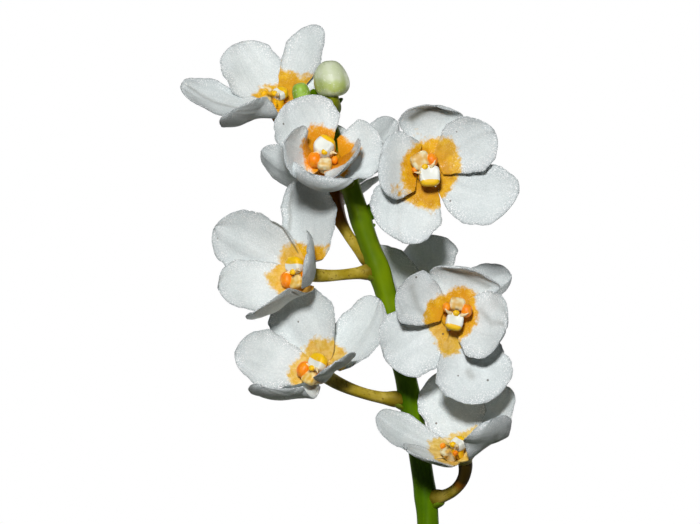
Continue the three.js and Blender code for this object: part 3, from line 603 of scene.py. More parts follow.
def lip(flower):
    """The lip and column. In the flower's own axes, across, towards its dorsal side and outwards: a
    rounded white block with yellow ends, two pointed arms, two round orange lobes, and above them a cream
    column with its cap. A dark spot at the cap's end towards the lip is painted shade of the slit there."""
    face, up, right = flower_axes(flower["facing"])
    dorsal = right * cosine(flower["dorsal"]) + up * sine(flower["dorsal"])
    side = np.cross(dorsal, face)
    axes = np.array([side, dorsal, face])
    floor = SPRAY_FOOT + flower["at"] + face * (PETAL_LAYER + BLADE_THICKNESS / 2)

    own = {**LIP, **flower.get("lip", {})}
    wide, tall, deep = own["size"]

    def at(x, y, z):
        return floor + (np.array([x, y, z]) + [*own["shift"], 0]) @ axes

    def band(ball):
        return smooth((-ball[..., 1] - 0.3 + 0.35 * own["gilt"] - 0.1 * ball[..., 0] ** 2) / 0.12)

    def hollow(ball):
        """The block's outward side sinks between its two near corners."""
        outward = np.maximum(0, ball[..., 2])
        return -0.5 * outward * (1 - ball[..., 0] ** 2) * smooth((ball[..., 1] + 0.9) / 1.4)

    turned = own["turn"]
    block_axes = np.array([
        side * cosine(turned) + dorsal * sine(turned), dorsal * cosine(turned) - side * sine(turned), face,
    ])
    parts = [
        tube(
            smooth_curve([at(0, -0.2, -0.4), at(0, -0.5, 0.8), at(0, -0.9, 2)], 12),
            np.linspace(0.85, 0.7, 12) * wide, yellow=1.0, orange=0.3,
        ),
        rounded_block(
            at(0, -1.1, deep + 1), block_axes, own["size"], 3.4 - 0.7 * own["gilt"], 34, 44, bulge=hollow,
            yellow=band,
        ),
        rounded_block(at(0, tall - 1.2, deep + 1.6), axes, (0.65, 0.6, 0.55), 2.2, yellow=1.0),
        tube(
            smooth_curve([at(0, 1.3, -0.4), at(0, 1.9, 1), at(0, 2.3, 2)], 14),
            (1.25 + 0.1 * smooth(np.linspace(0, 1, 14))) * own["hood"], cream=1.0, yellow=0.3,
        ),
        rounded_block(
            at(0, 2.4, 2.2), axes, np.array((1.5, 1.3, 0.85)) * own["hood"], 4, 30, 40,
            cream=1 - 0.45 * own["gilt"], yellow=own["gilt"],
            beak=lambda ball: np.exp(-((ball[..., 0] / 0.3) ** 2) - ((ball[..., 1] + 0.8) / 0.16) ** 2),
        ),
    ]
    for hand, grown in zip((-1, 1), own["ears"]):
        size = np.array((1, 1.2, 1.25)) * grown
        parts.append(rounded_block(at(2 * hand, 1.4, 2.2), axes, size, 2.4, orange=own["orange"], yellow=1.0))
        horn = smooth_curve(
            [at(1.1 * hand, 0.3, 2.9), at(1.7 * hand, 0.5, 3.4), at(2.4 * hand, 1, 3.6)], 12
        )
        parts.append(tube(horn, 0.45 * (1 - 0.85 * np.linspace(0, 1, 12)), 12, yellow=0.45))
    return parts


# The flower stem with its stalks and bracts
STEM_LINE = smooth_curve([*PEDUNCLE, *(SPRAY_FOOT + RACHIS)], 400)


def on_stem(height):
    """The point of the stem's line at a height above the foot of the spray."""
    z = STEM_LINE[:, 2] - SPRAY_FOOT[2]
    return np.array([np.interp(height, z, STEM_LINE[:, k]) for k in range(3)])


def stem_radius(t):
    """Straight from foot to flowering over the first half, then towards the tip by the fourth power."""
    foot, flowering, tip = STEM_RADIUS.values()
    lower = foot + (flowering - foot) * t / 0.5
    return np.where(t < 0.5, lower, flowering + (tip - flowering) * np.clip((t - 0.5) / 0.5, 0, 1) ** 4)


def stalk(leaves, out, reach, end, direction, radius_at, brown, olive):
    """A stalk that grows out of the stem in a small swelling and bends to meet what it carries."""
    start = on_stem(leaves)
    line = bezier(start, start + out, end - reach * direction, end, 46)
    share = np.linspace(0, 1, 46)
    swelling = 0.35 * np.exp(-((share - 0.16) / 0.09) ** 2)
    turn = circle(22)
    radius = (radius_at(share) + swelling)[:, None] * (1 + 0.035 * np.cos(6 * turn + 2 * share[:, None]))
    brown = brown * smooth((share - 0.4) / 0.4)[:, None]
    return tube(line, radius, 22, stalk=olive, share=share[:, None], brown=brown)


def flower_stalk(flower):
    """Its radius goes smoothly from stem to middle over its first half and to the ovary over the second."""
    face, _, _ = flower_axes(flower["facing"])
    end = SPRAY_FOOT + flower["at"] - face * (RECEPTACLE["depth"] - BLADE_THICKNESS / 2)
    leaves, out, reach = flower["stalk"]
    stem, middle, ovary = STALK_RADIUS.values()
    ovary = flower.get("ovary", ovary)

    def radius_at(t):
        return stem + (middle - stem) * smooth(2 * t) + (ovary - middle) * smooth(2 * t - 1)

    return stalk(leaves, out, reach, end, face, radius_at, flower["brown"], flower.get("olive", 1))


def bract(root, step, tone):
    """A short cupped scale from its root on the stem to a step away from it, hollow side up."""
    out = unit(np.array([step[0], step[1], 0]))
    return blade(root, root + step, np.array([0, 0, 1]) - out * 0.3, stalk=tone, share=0.5, **BRACT)


def flower_bract(flower):
    """The bract under a flower's stalk, on the side of the stem that the stalk leaves."""
    leaves, out, _ = flower["stalk"]
    out = unit(np.array([out[0], out[1], 0]))
    below, inset, reach, rise, olive = FLOWER_BRACT.values()
    step = out * reach + np.array([0, 0, rise])
    return bract(on_stem(leaves - below) + out * inset, step, olive * flower.get("olive", 1))


def flower_stem():
    """The stem is ribbed by 3% of its radius five times round, and thickens at each flower's stalk."""
    t = np.linspace(0, 1, len(STEM_LINE))
    height = STEM_LINE[:, 2] - SPRAY_FOOT[2]
    nodes = np.array([flower["stalk"][0] for flower in FLOWERS])
    knots = 0.18 * np.exp(-(((height[:, None] - nodes) / 2.2) ** 2)).sum(axis=1)
    turn = circle(40)
    ribs = 1 + 0.03 * np.cos(5 * turn + 4 * t[:, None])
    radius = (stem_radius(t) + np.minimum(knots, 0.3))[:, None] * ribs
    parts = [tube(STEM_LINE, radius, 40, stalk=0.0, share=t[:, None])]
    parts += [flower_stalk(flower) for flower in FLOWERS] + [flower_bract(flower) for flower in FLOWERS]
    for bud in BUDS:
        axis = unit(np.array(bud["points"], float))
        end = SPRAY_FOOT + bud["at"] - axis * bud["half_length"] * 0.9
        leaves, out, reach = bud["stalk"]
        parts.append(stalk(leaves, out, reach, end, axis, lambda t: bud["stalk_radius"] + 0 * t, 0.0, 0.35))
        parts.append(bract(on_stem(BUD_BRACT_HEIGHT), np.array(bud["scale"]), 0.0))
    return parts


def bud(at, radius, half_length, points, ripe, **_):
    """A closed bud: an egg that is blunt where it meets the stalk, with three shallow furrows where its
    sepals meet, and a small hook at its tip."""
    axis = unit(np.array(points, float))
    side = unit(np.array([1, 0, 0]) - axis * axis[0])
    polar = np.radians(np.linspace(2, 178, 40))[:, None]
    turn = circle(60)[None]
    height = -np.cos(polar)
    girth = np.sin(polar) ** 0.62 * (1 - ripe * (0.14 * height + 0.12 * height**2 * (height > 0)))
    furrow = 1 - (0.09 - 0.06 * ripe) * np.abs(np.cos(1.5 * turn + 0.5)) ** 14 * np.sin(polar)
    furrow = furrow + ripe * (0.06 * np.cos(3 * turn + 4) + 0.12 * np.cos(turn)) * smooth(0.5 - height)
    ball = np.stack([girth * furrow * np.cos(turn), girth * furrow * np.sin(turn), height + 0 * turn], -1)
    shape = ball * [radius, radius, half_length]
    rings = SPRAY_FOOT + at + shape @ np.array([side, np.cross(axis, side), axis])
    return [skin(rings, ripe=float(ripe), share=(height + 1) / 2)]


# The leafy growths and their roots
def growth_leaf(growth, k):
    """A strap leaf: a long thick blade with a channel above and a keel below."""
    heading = growth["swing"] if k % 2 else 180 - growth["swing"]
    out = np.array([cosine(heading), sine(heading), 0])
    root = np.array([*growth["at"], CROWN["top"] + CROWN["step"] * k]) + out * CROWN["leaf_inset"]
    tip = root + out * (growth["reach"] - LEAF["shorter"] * k)
    tip = tip + np.array([0, 0, growth["rise"] + LEAF["steeper"] * k])
    return blade(
        root, tip, np.array([0, 0, 1.0]), LEAF["half_width"], curl=LEAF["curl"], cup=LEAF["cup"],
        outline=LEAF_OUTLINE, thickness=LEAF["thickness"], rows=90, around=56, groove=0.45, keel=0.5,
        seed=31 * k + len(growth["roots"]), ragged=0.3, tepal=k * 0.31 + growth["leaves"],
    )


def sheaths(growth):
    """The leaf bases, one over the other: flattened tubes that taper upwards, whose mouths are cut on a
    slant that opens to the side of the leaf."""
    parts = []
    x, y = growth["at"]
    for k in range(growth["leaves"]):
        heading = growth["swing"] if k % 2 else 180 - growth["swing"]
        share = np.linspace(0, 1, 26)[:, None]
        turn = np.linspace(0, 360, 40, endpoint=False)[None]
        low = CROWN["bottom"] + (CROWN["top"] - CROWN["bottom"] + CROWN["step"] * k) * SHEATH["start"]
        high = CROWN["top"] + CROWN["step"] * k + SHEATH["over"] + SHEATH["slant"] * cosine(turn)
        z = low + (high - low) * share
        wide = CROWN["radius"] * (SHEATH["wide"] - SHEATH["thinner"] * k)
        wide = wide * (1 - SHEATH["taper"] * share) + SHEATH["skin"]
        out = wide * (1 + SHEATH["opens"] * share * np.maximum(0, cosine(turn)))
        flat = wide * SHEATH["flat"]
        rings = np.stack([
            x + out * cosine(turn) * cosine(heading) - flat * sine(turn) * sine(heading),
            y + out * cosine(turn) * sine(heading) + flat * sine(turn) * cosine(heading),
            z + 0 * turn,
        ], -1)
        parts.append(skin(rings, along=share * 0.1, across=cosine(turn), sheath=1.0))
    return parts


def roots(growth):
    """Roots that run out over the bark and turn down into it, with a slightly uneven girth, from a knotted
    collar under the leaves."""
    x, y = growth["at"]
    parts = []
    for k, heading in enumerate(growth["roots"]):
        route = [(x + d * cosine(heading), y + d * sine(heading), z) for d, z in ROOT["route"]]
        line = smooth_curve(route, 60)
        radius = ROOT["radius"] * (1 + 0.1 * swell(line, 5, k + 3))
        parts.append(tube(line, radius))
    turn = circle(48)[None]
    share = np.linspace(0, 1, 16)[:, None]
    knots = 1 + 0.06 * np.cos(7 * turn + 3 * share)
    girth = ROOT_COLLAR["radius"] * np.sin(np.pi * (0.18 + 0.74 * share)) * knots
    z = ROOT_COLLAR["bottom"] + ROOT_COLLAR["height"] * share + 0 * turn
    parts.append(skin(np.stack([x + girth * np.cos(turn), y + girth * np.sin(turn), z], -1)))
    return parts


# Bark and pot
def pot_outer(z):
    """The outer wall's radius: straight from the foot to the underside of the band and on."""
    return POT["foot"] + (POT["rim"] - POT["band_proud"] - POT["foot"]) * z / POT["height"]


def pot_inner(z):
    return pot_outer(z) - POT["wall"]


def chip(at, size, turns, seed, rows, around):
    """A flake of bark: a rounded box with a random swell over its faces, turned about Z, Y and X."""
    cz, cy, cx = (cosine(t) for t in turns)
    sz, sy, sx = (sine(t) for t in turns)
    spin = np.array([[cz, -sz, 0], [sz, cz, 0], [0, 0, 1]])
    pitch = np.array([[cy, 0, sy], [0, 1, 0], [-sy, 0, cy]])
    tilt = np.array([[1, 0, 0], [0, cx, -sx], [0, sx, cx]])
    axes = (spin @ pitch @ tilt).T
    block = rounded_block(np.zeros(3), np.eye(3), np.array(size) / 2, 5, rows, around)
    rough = 1 + 0.13 * swell(block["points"], 7, seed)
    block["points"] = at + (block["points"] * rough[:, None]) @ axes
    block["facts"]["chip"] = np.full(len(rough), (seed * GOLDEN_SHARE) % 1)
    return block


def bark():
    """The filling, a cone frustum with a shallow dome, and flakes on it at the golden angle, larger ones
    below and crumbs between."""
    bottom, level = POT["floor"] + 0.4, BARK["level"]
    height = np.array([bottom, level - 3, level - 1, level - 0.5, level, level + 0.4])
    radius = pot_inner(np.minimum(height, level)) - BARK["clearance"]
    radius[4:] *= [0.7, 0.3]
    line = np.stack([0 * height, 0 * height, height], axis=-1)
    parts = [tube(line, radius, 64, chip=0.3)]
    random = np.random.default_rng(5)
    for count, size, rows, around, rise, edge in CHIPS:
        for k in range(count):
            distance = (pot_inner(level) - edge) * np.sqrt((k + 0.5) / count)
            heading = GOLDEN_ANGLE * k + 40 * rows
            z = level + rise + BARK["dome"] * (1 - distance / pot_inner(level)) + random.uniform(-0.6, 0.8)
            at = np.array([distance * cosine(heading), distance * sine(heading), z])
            turns = (heading + 90 + random.uniform(-35, 35), random.uniform(-16, 16), random.uniform(-18, 18))
            grown = np.array(size) * random.uniform(0.75, 1.2, 3)
            parts.append(chip(at, grown, turns, 100 * rows + k, rows, around))
    return parts


def pot():
    """The wall is one profile turned round the Z axis. The floor is four quarter discs, each with a round
    hole: every point of the quarter's outline has a partner on the hole at the same angle round the hole's
    middle, and the rows run between them underneath, up the hole's side and out again on top."""
    columns = 128
    height, rim, foot, edge = POT["height"], POT["rim"], POT["foot"], POT["edge"]
    under, floor = height - POT["band"], POT["floor"]
    profile = np.array([
        (foot - edge, 0), (foot - 0.35, 0.3), (pot_outer(edge), edge), (pot_outer(under / 2), under / 2),
        (pot_outer(under) - 0.1, under - 0.4), (pot_outer(under) + 0.3, under), (rim - edge, under + 0.1),
        (rim - 0.3, under + 0.4), (rim, under + edge), (rim, height - edge), (rim - 0.35, height - 0.35),
        (rim - edge, height), (pot_inner(height) + edge, height), (pot_inner(height) + 0.35, height - 0.35),
        (pot_inner(height - edge), height - edge), (pot_inner(30), 30), (pot_inner(floor), floor),
    ])
    turn = np.linspace(0, 360, columns, endpoint=False)
    r, z = profile[:, 0, None], profile[:, 1, None]
    wall = patch(np.stack([r * cosine(turn), r * sine(turn), z + 0 * turn], -1), closed=True)
    arc = np.linspace(0, 90, columns // 4 + 1)
    out = np.linspace(0, 1, 9)
    quarter = np.concatenate([
        np.stack([out, 0 * out], -1), np.stack([cosine(arc), sine(arc)], -1)[1:-1],
        np.stack([0 * out, out[::-1]], -1)[:-1],
    ])
    middle = DRAIN["ring"] * np.array([cosine(45), sine(45)])
    low, high = quarter * (foot - edge), quarter * pot_inner(floor)
    angle = np.degrees(np.arctan2(low[:, 1] - middle[1], low[:, 0] - middle[0]))
    hole = middle + DRAIN["radius"] * np.stack([cosine(angle), sine(angle)], -1)
    share = np.linspace(0, 1, 6)[:, None, None]
    rows = np.concatenate([low + (hole - low) * share, hole + (high - hole) * share])
    levels = np.concatenate([np.zeros(6), np.full(6, floor)])[:, None, None] * np.ones((1, len(low), 1))
    grid = np.concatenate([rows, levels], axis=-1)
    parts = [wall]
    for k in range(4):
        spin = np.array([[cosine(90 * k), sine(90 * k), 0], [-sine(90 * k), cosine(90 * k), 0], [0, 0, 1]])
        parts.append(patch(grid @ spin, closed=True))
    return [welded(joined(parts))]


# Materials
def colour(code):
    """A colour as it looks on a screen, in red, green and blue from 0 to 255, as light: divided by 255,
    then the sRGB curve undone."""
    c = np.array([(code >> 16) & 255, (code >> 8) & 255, code & 255]) / 255
    return tuple(np.where(c <= 0.04045, c / 12.92, ((c + 0.055) / 1.055) ** 2.4)) + (1.0,)


class Wire:
    """The output of a node. Arithmetic on it adds Math nodes."""

    def __init__(self, paint, socket):
        self.paint, self.socket = paint, socket

    def math(self, operation, *values):
        return self.paint.node("Math", {"operation": operation}, dict(enumerate([self, *values])))

    def __add__(self, other):
        return self.math("ADD", other)

    def __mul__(self, other):
        return self.math("MULTIPLY", other)

    def __sub__(self, other):
        return self.math("SUBTRACT", other)

    __radd__ = __add__

    def abs(self):
        return self.math("ABSOLUTE")

    def ramp(self, low, high, start=0.0, end=1.0):
        """From start to end as the value goes from low to high, smoothly, and flat outside."""
        return self.paint.node(
            "MapRange", {"interpolation_type": "SMOOTHSTEP"}, {0: self, 1: low, 2: high, 3: start, 4: end}
        )

    def blend(self, first, second):
        """first where the value is 0 and second where it is 1. A whole number is the code of a colour."""
        first, second = (colour(end) if isinstance(end, int) else end for end in (first, second))
        return self.paint.node(
            "Mix", {"data_type": "RGBA", "clamp_factor": True}, {0: self, 6: first, 7: second}, out=2
        )


class Paint:
    """The nodes of one material. Constants go on the shader's own sockets."""

    def __init__(self, name, specular):
        self.material = bpy.data.materials.new(name)
        self.material.use_nodes = True
        self.tree = self.material.node_tree
        self.shader = self.tree.nodes["Principled BSDF"]
        self.shader.inputs["Specular IOR Level"].default_value = specular
        self.place = self.node("TexCoord", out="Object")

    def node(self, kind, settings=None, inputs=None, out=0):
        """Adds a node of a kind, sets it up, and fills or links its inputs."""
        made = self.tree.nodes.new("ShaderNode" + kind)
        for key, value in (settings or {}).items():
            setattr(made, key, value)
        for key, value in (inputs or {}).items():
            self.feed(made.inputs[key], value)
        return Wire(self, made.outputs[out])

    def feed(self, socket, value):
        if isinstance(value, Wire):
            self.tree.links.new(value.socket, socket)
        else:
            socket.default_value = value

    def fact(self, name):
        """A number that the mesh holds for each of its points."""
        return self.node("Attribute", {"attribute_name": name}, out="Fac")

    def noise(self, size, detail=2.0, roughness=0.5, at=None, stretch=None):
        """Soft noise from 0 to 1 that changes about every `size` millimetres."""
        place = at or self.place
        if stretch:
            place = self.node("VectorMath", {"operation": "MULTIPLY"}, {0: place, 1: stretch})
        inputs = {"Vector": place, "Scale": 1 / METRES / size, "Detail": detail, "Roughness": roughness}
        return self.node("TexNoise", inputs=inputs)

    def cells(self, size):
        """The distance to the middle of the nearest cell, of cells about `size` millimetres wide."""
        inputs = {"Vector": self.place, "Scale": 1 / METRES / size}
        return self.node("TexVoronoi", inputs=inputs, out="Distance")

    def point(self, x, y, z):
        """A place made of three numbers, to give noise that follows the surface."""
        return self.node("CombineXYZ", inputs={0: x, 1: y, 2: z})

    def finish(self, base, roughness, height=None, depth=0.1, strength=1.0):
        """Colour, roughness, and where a height is given a bump of that depth in millimetres."""
        self.feed(self.shader.inputs["Base Color"], base)
        self.feed(self.shader.inputs["Roughness"], roughness)
        if height is not None:
            inputs = {"Strength": strength, "Distance": depth * METRES, "Height": height}
            self.feed(self.shader.inputs["Normal"], self.node("Bump", inputs=inputs, out="Normal"))
        return self.material


def tepal_finish():
    """Cool white with a fine crystal grain and a greyer rim, white specks of painted glint that thicken
    towards the rim, and a dark speck here and there. The amber round the heart breaks up into grains at its
    edge and is deeper towards the middle: from straw yellow over ochre to orange by flower, with pale flecks
    of painted glint towards its edge. Faint veins follow the tepal. Painted shade darkens its creases,
    rolled rims and slits, and one real smudge is darkened too."""
    paint = Paint("white_tepal", specular=0.14)
    along, across, tone = paint.fact("along"), paint.fact("across"), paint.fact("tepal")
    heart, warmth = paint.fact("amber"), paint.fact("warmth")
    grain = paint.noise(0.5, 2, 0.6)
    crystal = paint.cells(0.3)
    glint_noise = paint.noise(0.23, 1)
    edge = paint.fact("rim")
    # Painted glints: a mask of specks that stand for the sparkle of the crystal cells. It also lowers the
    # roughness there.
    sparkle = glint_noise.ramp(0.54, 0.64) * paint.noise(3.4, 2).ramp(0.30, 0.60, 0.5, 1)
    veins = paint.noise(1000, 3, 0.6, at=paint.point(across * 7, along * 1.1, tone * 20))
    white = paint.noise(4.5, 2).ramp(0.3, 0.7).blend(0xd7dfdf, 0xe2e9e9)
    white = edge.ramp(0.1, 0.8, 0, 0.32).blend(white, 0xb9c0c2)
    white = (veins.ramp(0.50, 0.70) * 0.15).blend(white, 0xaab2b5)
    white = (grain.ramp(0.60, 0.40) * 0.12).blend(white, 0xa9b0b3)
    white = (edge.ramp(0.78, 1.0) * (0.2 + grain * 0.5)).blend(white, 0x6d7577)
    # Painted glints: the specks are turned white, more of them towards the rim.
    base = (sparkle * edge.ramp(0.0, 0.6, 0.35, 0.85)).blend(white, 0xffffff)
    reach = heart + (grain - 0.5) * 0.16 + (paint.noise(0.9, 2) - 0.5) * 0.3
    reach = reach + (paint.noise(3.2, 2) - 0.5) * 0.5
    inside = reach.ramp(1.08, 0.90) * paint.fact("front")
    yellow = paint.noise(1.1, 2).ramp(0.35, 0.65).blend(0xd9b650, 0xe8cf82)
    ochre = paint.noise(1.6, 2).ramp(0.35, 0.65).blend(0xd49806, 0xecb614)
    amber = warmth.ramp(0.0, 0.7).blend(yellow, ochre)
    amber = (warmth.ramp(0.85, 1.0) * 0.7).blend(amber, 0xe88407)
    amber = (heart.ramp(0.95, 0.45) * warmth * 0.9).blend(amber, 0xc88702)
    amber = (paint.noise(2.4, 3).ramp(0.52, 0.70) * 0.5).blend(amber, 0xd6951a)
    amber = (veins.ramp(0.52, 0.66) * 0.3).blend(amber, 0xc98d14)
    amber = (reach.ramp(0.78, 1.0) * 0.4).blend(amber, 0xe6b838)
    # Painted glints: pale flecks over the amber, more of them towards its edge.
    amber = (glint_noise.ramp(0.56, 0.70) * heart.ramp(0.5, 1.0, 0.05, 0.42)).blend(amber, 0xf4de94)
    base = inside.blend(base, amber)
    speck = paint.cells(5.2).ramp(0.055, 0.030)
    base = (speck * 0.8).blend(base, 0x4d4438)
    # Painted shade: the strokes darken the colour in creases, under rolled rims and in slits between tepals.
    # One stroke is a real smudge.
    base = paint.fact("mark").blend(base, 0x5a5540)
    base = paint.fact("cup").blend(base, 0xa79a3c)
    relief = grain * 0.5 + crystal * 0.5 + veins * 0.2
    return paint.finish(base, sparkle.ramp(0, 1, 0.62, 0.28), relief, depth=0.12, strength=0.6)


def lip_finish():
    """White, yellow, orange or cream by part, with a waxy grain, and a dark spot of painted shade where the
    slit lies under the column's cap.
    """
    paint = Paint("lip", specular=0.3)
    grain = paint.noise(0.5, 2)
    cloud = paint.noise(1.4, 1)
    base = paint.fact("yellow").ramp(0.2, 0.7).blend(0xe9ebe2, 0xf7c40a)
    orange = cloud.ramp(0.3, 0.7).blend(0xff9c10, 0xfb8400)
    base = paint.fact("orange").ramp(0.1, 0.9).blend(base, orange)
    cream = cloud.ramp(0.35, 0.65).blend(0xebe0b6, 0xd9a94c)
    base = paint.fact("cream").ramp(0.1, 0.9).blend(base, cream)
    base = (grain.ramp(0.58, 0.75) * 0.15).blend(base, 0xfaf0cf)
    # Painted shade: a dark spot at the cap's end towards the lip stands for the shaded slit under the column.
    base = (paint.fact("beak") * 0.85).blend(base, 0x3a2408)
    return paint.finish(base, grain.ramp(0.3, 0.7, 0.5, 0.34), grain, depth=0.06, strength=0.5)


def stem_finish():
    """Bright green, darker in streaks along the stem. The stalks are yellow-olive with fine brown specks,
    green-brown where they leave the stem, and some turn brown under the flower."""
    paint = Paint("green_stem", specular=0.05)
    streaks = paint.noise(2.6, 3, 0.55, stretch=(1, 1, 0.10))
    fine = paint.noise(0.4, 2)
    green = streaks.ramp(0.30, 0.70).blend(0x4a6a00, 0x648800)
    green = (paint.fact("share").ramp(0.62, 0.85) * 0.7).blend(green, 0x83920a)
    green = (paint.noise(10, 2).ramp(0.42, 0.68) * 0.55).blend(green, 0x2f5a04)
    olive = paint.noise(2.2, 2).ramp(0.3, 0.7).blend(0xa08a20, 0xbfa848)
    olive = (fine.ramp(0.60, 0.72) * 0.6).blend(olive, 0x6d4d14)
    olive = (paint.noise(0.8, 2).ramp(0.62, 0.7) * 0.5).blend(olive, 0x4b3510)
    olive = paint.fact("share").ramp(0.34, 0.10).blend(olive, 0x6f5f10)
    brown = paint.fact("brown").ramp(0.55, 0.9).blend(0x8a4f10, 0x300f08)
    olive = paint.fact("brown").ramp(0.1, 0.6).blend(olive, brown)
    base = paint.fact("stalk").ramp(0.1, 0.9).blend(green, olive)
    relief = streaks * 0.6 + fine * 0.4
    return paint.finish(base, fine.ramp(0.3, 0.7, 0.42, 0.58), relief, depth=0.12, strength=0.5)


def bud_finish():
    """The ripe bud is cream-green and pale at its tip, the young one bright green, both finely grained."""
    paint = Paint("green_bud", specular=0.35)
    grain = paint.noise(0.45, 2)
    cloud = paint.noise(2.4, 2)
    ripe = (paint.fact("share") + (cloud - 0.5) * 0.5).ramp(0.15, 0.7).blend(0xb4c46a, 0xccd6ae)
    ripe = (cloud.ramp(0.45, 0.7) * 0.5).blend(ripe, 0xdce1cc)
    young = cloud.ramp(0.3, 0.7).blend(0x86ae2c, 0xa6ca52)
    base = paint.fact("ripe").ramp(0.2, 0.8).blend(young, ripe)
    base = (grain.ramp(0.60, 0.72) * 0.5).blend(base, 0xf4f7ea)
    return paint.finish(base, grain.ramp(0.3, 0.7, 0.5, 0.36), grain, depth=0.08, strength=0.5)


def leaf_finish():
    """Deep green with fine veins along the leaf, a paler channel, a thin paler edge and a few dull
    purple-brown flecks."""
    paint = Paint("green_leaf", specular=0.45)
    along, across, tone = paint.fact("along"), paint.fact("across"), paint.fact("tepal")
    veins = paint.noise(1000, 3, 0.6, at=paint.point(across * 16, along * 3, tone * 10))
    cloud = paint.noise(16, 3)
    fleck = paint.noise(1.7, 2, 0.6, stretch=(0.5, 0.8, 0.8)).ramp(0.66, 0.76) * cloud.ramp(0.4, 0.6)
    base = cloud.ramp(0.3, 0.7).blend(0x33591f, 0x4d7a2c)
    base = (veins.ramp(0.45, 0.7) * 0.45).blend(base, 0x6d9440)
    base = (across.abs().ramp(0.10, 0.0) * 0.5).blend(base, 0x86a556)
    base = (paint.fact("rim").ramp(0.6, 1.0) * 0.5).blend(base, 0x8fa35a)
    base = (fleck * 0.6).blend(base, 0x4a3122)
    base = (along.ramp(0.93, 1.0) * 0.6).blend(base, 0x7d7a3a)
    base = (paint.fact("sheath") * 0.75).blend(base, 0x9aa765)
    return paint.finish(base, veins.ramp(0.3, 0.7, 0.5, 0.36), veins + cloud * 0.4, depth=0.2, strength=0.4)


def root_finish():
    """Silver-grey velvet with greener clouds, dull brown patches and a fine felt."""
    paint = Paint("grey_root", specular=0.2)
    felt = paint.noise(0.5, 3, 0.7)
    cloud = paint.noise(3.5, 2)
    base = cloud.ramp(0.35, 0.65).blend(0x98a07e, 0xc6c8b6)
    base = (felt.ramp(0.5, 0.75) * 0.5).blend(base, 0xdedfd2)
    base = (paint.noise(5, 2).ramp(0.55, 0.7) * 0.45).blend(base, 0x7c6f4c)
    return paint.finish(base, 0.85, felt + cloud * 0.5, depth=0.3, strength=0.6)


def bark_finish():
    """Red-brown to grey-brown by flake, with layered streaks and dark cracks."""
    paint = Paint("brown_bark", specular=0.2)
    tone = paint.fact("chip")
    layers = paint.noise(3.2, 4, 0.65, stretch=(0.5, 0.8, 2.2))
    cracks = paint.noise(1.3, 4, 0.7)
    base = tone.blend(0x4a2c1b, 0x86603f)
    base = layers.ramp(0.35, 0.65).blend(base, 0x6d4429)
    base = (cracks.ramp(0.46, 0.36) * 0.8).blend(base, 0x24150d)
    base = (paint.noise(0.8, 2).ramp(0.62, 0.75) * 0.4).blend(base, 0xa88a66)
    return paint.finish(base, 0.92, layers * 0.7 + cracks, depth=0.6, strength=0.8)


def clay_finish():
    """Terracotta with fine turning lines, grit, soft mottling, and a pale bloom near the foot and rim."""
    paint = Paint("terracotta", specular=0.25)
    lines = paint.noise(1.1, 3, 0.6, stretch=(0.02, 0.02, 1))
    grit = paint.noise(0.6, 2, 0.6)
    cloud = paint.noise(22, 4, 0.6)
    height = paint.node("SeparateXYZ", inputs={0: paint.place}, out="Z")
    base = cloud.ramp(0.3, 0.7).blend(0xa9563a, 0xc47350)
    base = (lines.ramp(0.4, 0.65) * 0.25).blend(base, 0xd08a66)
    base = (grit.ramp(0.62, 0.75) * 0.4).blend(base, 0x7f3e28)
    bloom = height.ramp(0.016, 0.002) + height.ramp(0.080, 0.087) * 0.6
    bloom = bloom * paint.noise(7, 4, 0.65).ramp(0.42, 0.66)
    base = (bloom * 0.5).blend(base, 0xdcc3b2)
    relief = lines * 0.5 + grit * 0.5
    return paint.finish(base, grit.ramp(0.3, 0.7, 0.9, 0.78), relief, depth=0.25, strength=0.5)


def floor_finish():
    """A plain pale floor with a barely seen grain and a glow of its own, which makes it nearly white."""
    paint = Paint("pale_floor", specular=0.2)
    paint.shader.inputs["Emission Color"].default_value = WHITE
    paint.shader.inputs["Emission Strength"].default_value = FLOOR["glow"]
    return paint.finish(paint.noise(60, 3).blend(0xa6a6a4, 0xacacaa), 0.9)


# Putting it together
white_tepal, lip_colours, green_stem, green_bud = tepal_finish(), lip_finish(), stem_finish(), bud_finish()
green_leaf, grey_root, brown_bark, terracotta = leaf_finish(), root_finish(), bark_finish(), clay_finish()

mesh_piece("clay_pot", pot(), terracotta, ["pot"])
mesh_piece("bark_filling", bark(), brown_bark, ["bark"])
for growth in GROWTHS:
    name = growth["name"]
    leaves = [growth_leaf(growth, k) for k in range(growth["leaves"])]
    mesh_piece(name + "_leaves", leaves + sheaths(growth), green_leaf, [name])
    mesh_piece(name + "_root_tangle", roots(growth), grey_root, [name + "_roots"])
mesh_piece("stem_with_stalks", flower_stem(), green_stem, ["flower_stem"])
for number, flower in enumerate(FLOWERS):
    name = flower["name"]
    mesh_piece(name + "_petals_and_sepals", tepals(flower, number), white_tepal, [name + "_tepals"])
    mesh_piece(name + "_lip_and_column", lip(flower), lip_colours, [name + "_lip"])
for each in BUDS:
    mesh_piece(each["name"] + "_closed", bud(**each), green_bud, [each["name"]])


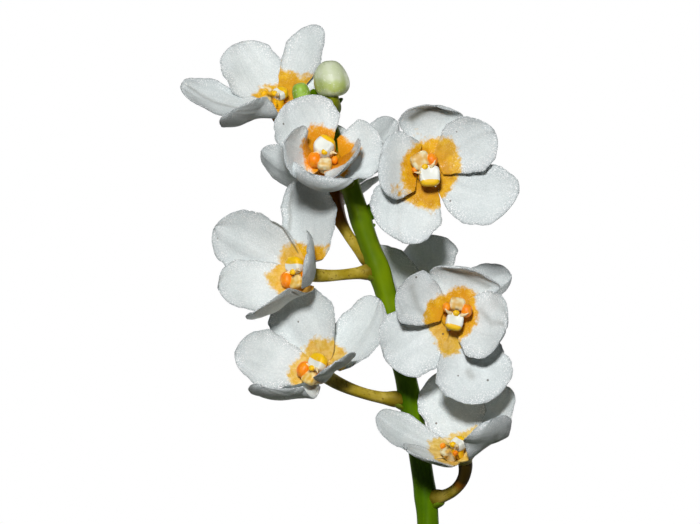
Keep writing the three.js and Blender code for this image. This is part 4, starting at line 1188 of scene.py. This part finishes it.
def studio():
    """A pale floor, the camera at the photograph's view, a key light above the camera, weak fills from above
    and from both sides behind, and a white surround. The floor doesn't light the plant and the surround
    hardly does, so that its shadows stay deep."""
    span = np.linspace(-FLOOR["half_width"], FLOOR["half_width"], FLOOR["points"])
    x, y = np.meshgrid(span, span)
    ground = patch(np.stack([x, y, 0 * x - FLOOR["below"]], -1))
    mesh = bpy.data.meshes.new("floor")
    mesh.from_pydata(ground["points"] * METRES, [], ground["quads"].tolist())
    mesh.materials.append(floor_finish())
    floor = placed("floor", mesh)
    floor.visible_diffuse = False

    camera = bpy.data.cameras.new("camera")
    camera.sensor_width = CAMERA["sensor"]
    camera.lens = CAMERA["sensor"] * CAMERA["distance"] / CAMERA["frame_width"]
    seen_from = placed("camera", camera)
    seen_from.location = Vector(CAMERA["at"]) * METRES
    seen_from.rotation_euler = (np.pi / 2, 0, 0)
    bpy.context.scene.camera = seen_from

    for name, (at, power, size) in LAMPS.items():
        lamp = bpy.data.lights.new(name, "AREA")
        lamp.energy, lamp.size = power, size * METRES
        holder = placed(name, lamp)
        holder.location = Vector(at) * METRES
        aim = Vector(LAMPS_AIM) * METRES - holder.location
        holder.rotation_euler = aim.to_track_quat("-Z", "Y").to_euler()

    world = bpy.data.worlds.new("surround")
    bpy.context.scene.world = world
    world.use_nodes = True
    nodes, links = world.node_tree.nodes, world.node_tree.links
    light = nodes["Background"]
    light.inputs["Color"].default_value = SURROUND["light"]
    light.inputs["Strength"].default_value = SURROUND["strength"]
    seen = nodes.new("ShaderNodeBackground")
    seen.inputs["Strength"].default_value = 1.0
    seen.inputs["Color"].default_value = WHITE
    mix, path = nodes.new("ShaderNodeMixShader"), nodes.new("ShaderNodeLightPath")
    links.new(path.outputs["Is Camera Ray"], mix.inputs[0])
    links.new(light.outputs[0], mix.inputs[1])
    links.new(seen.outputs[0], mix.inputs[2])
    links.new(mix.outputs[0], nodes["World Output"].inputs["Surface"])
    bpy.context.scene.view_settings.view_transform = "Standard"


studio()
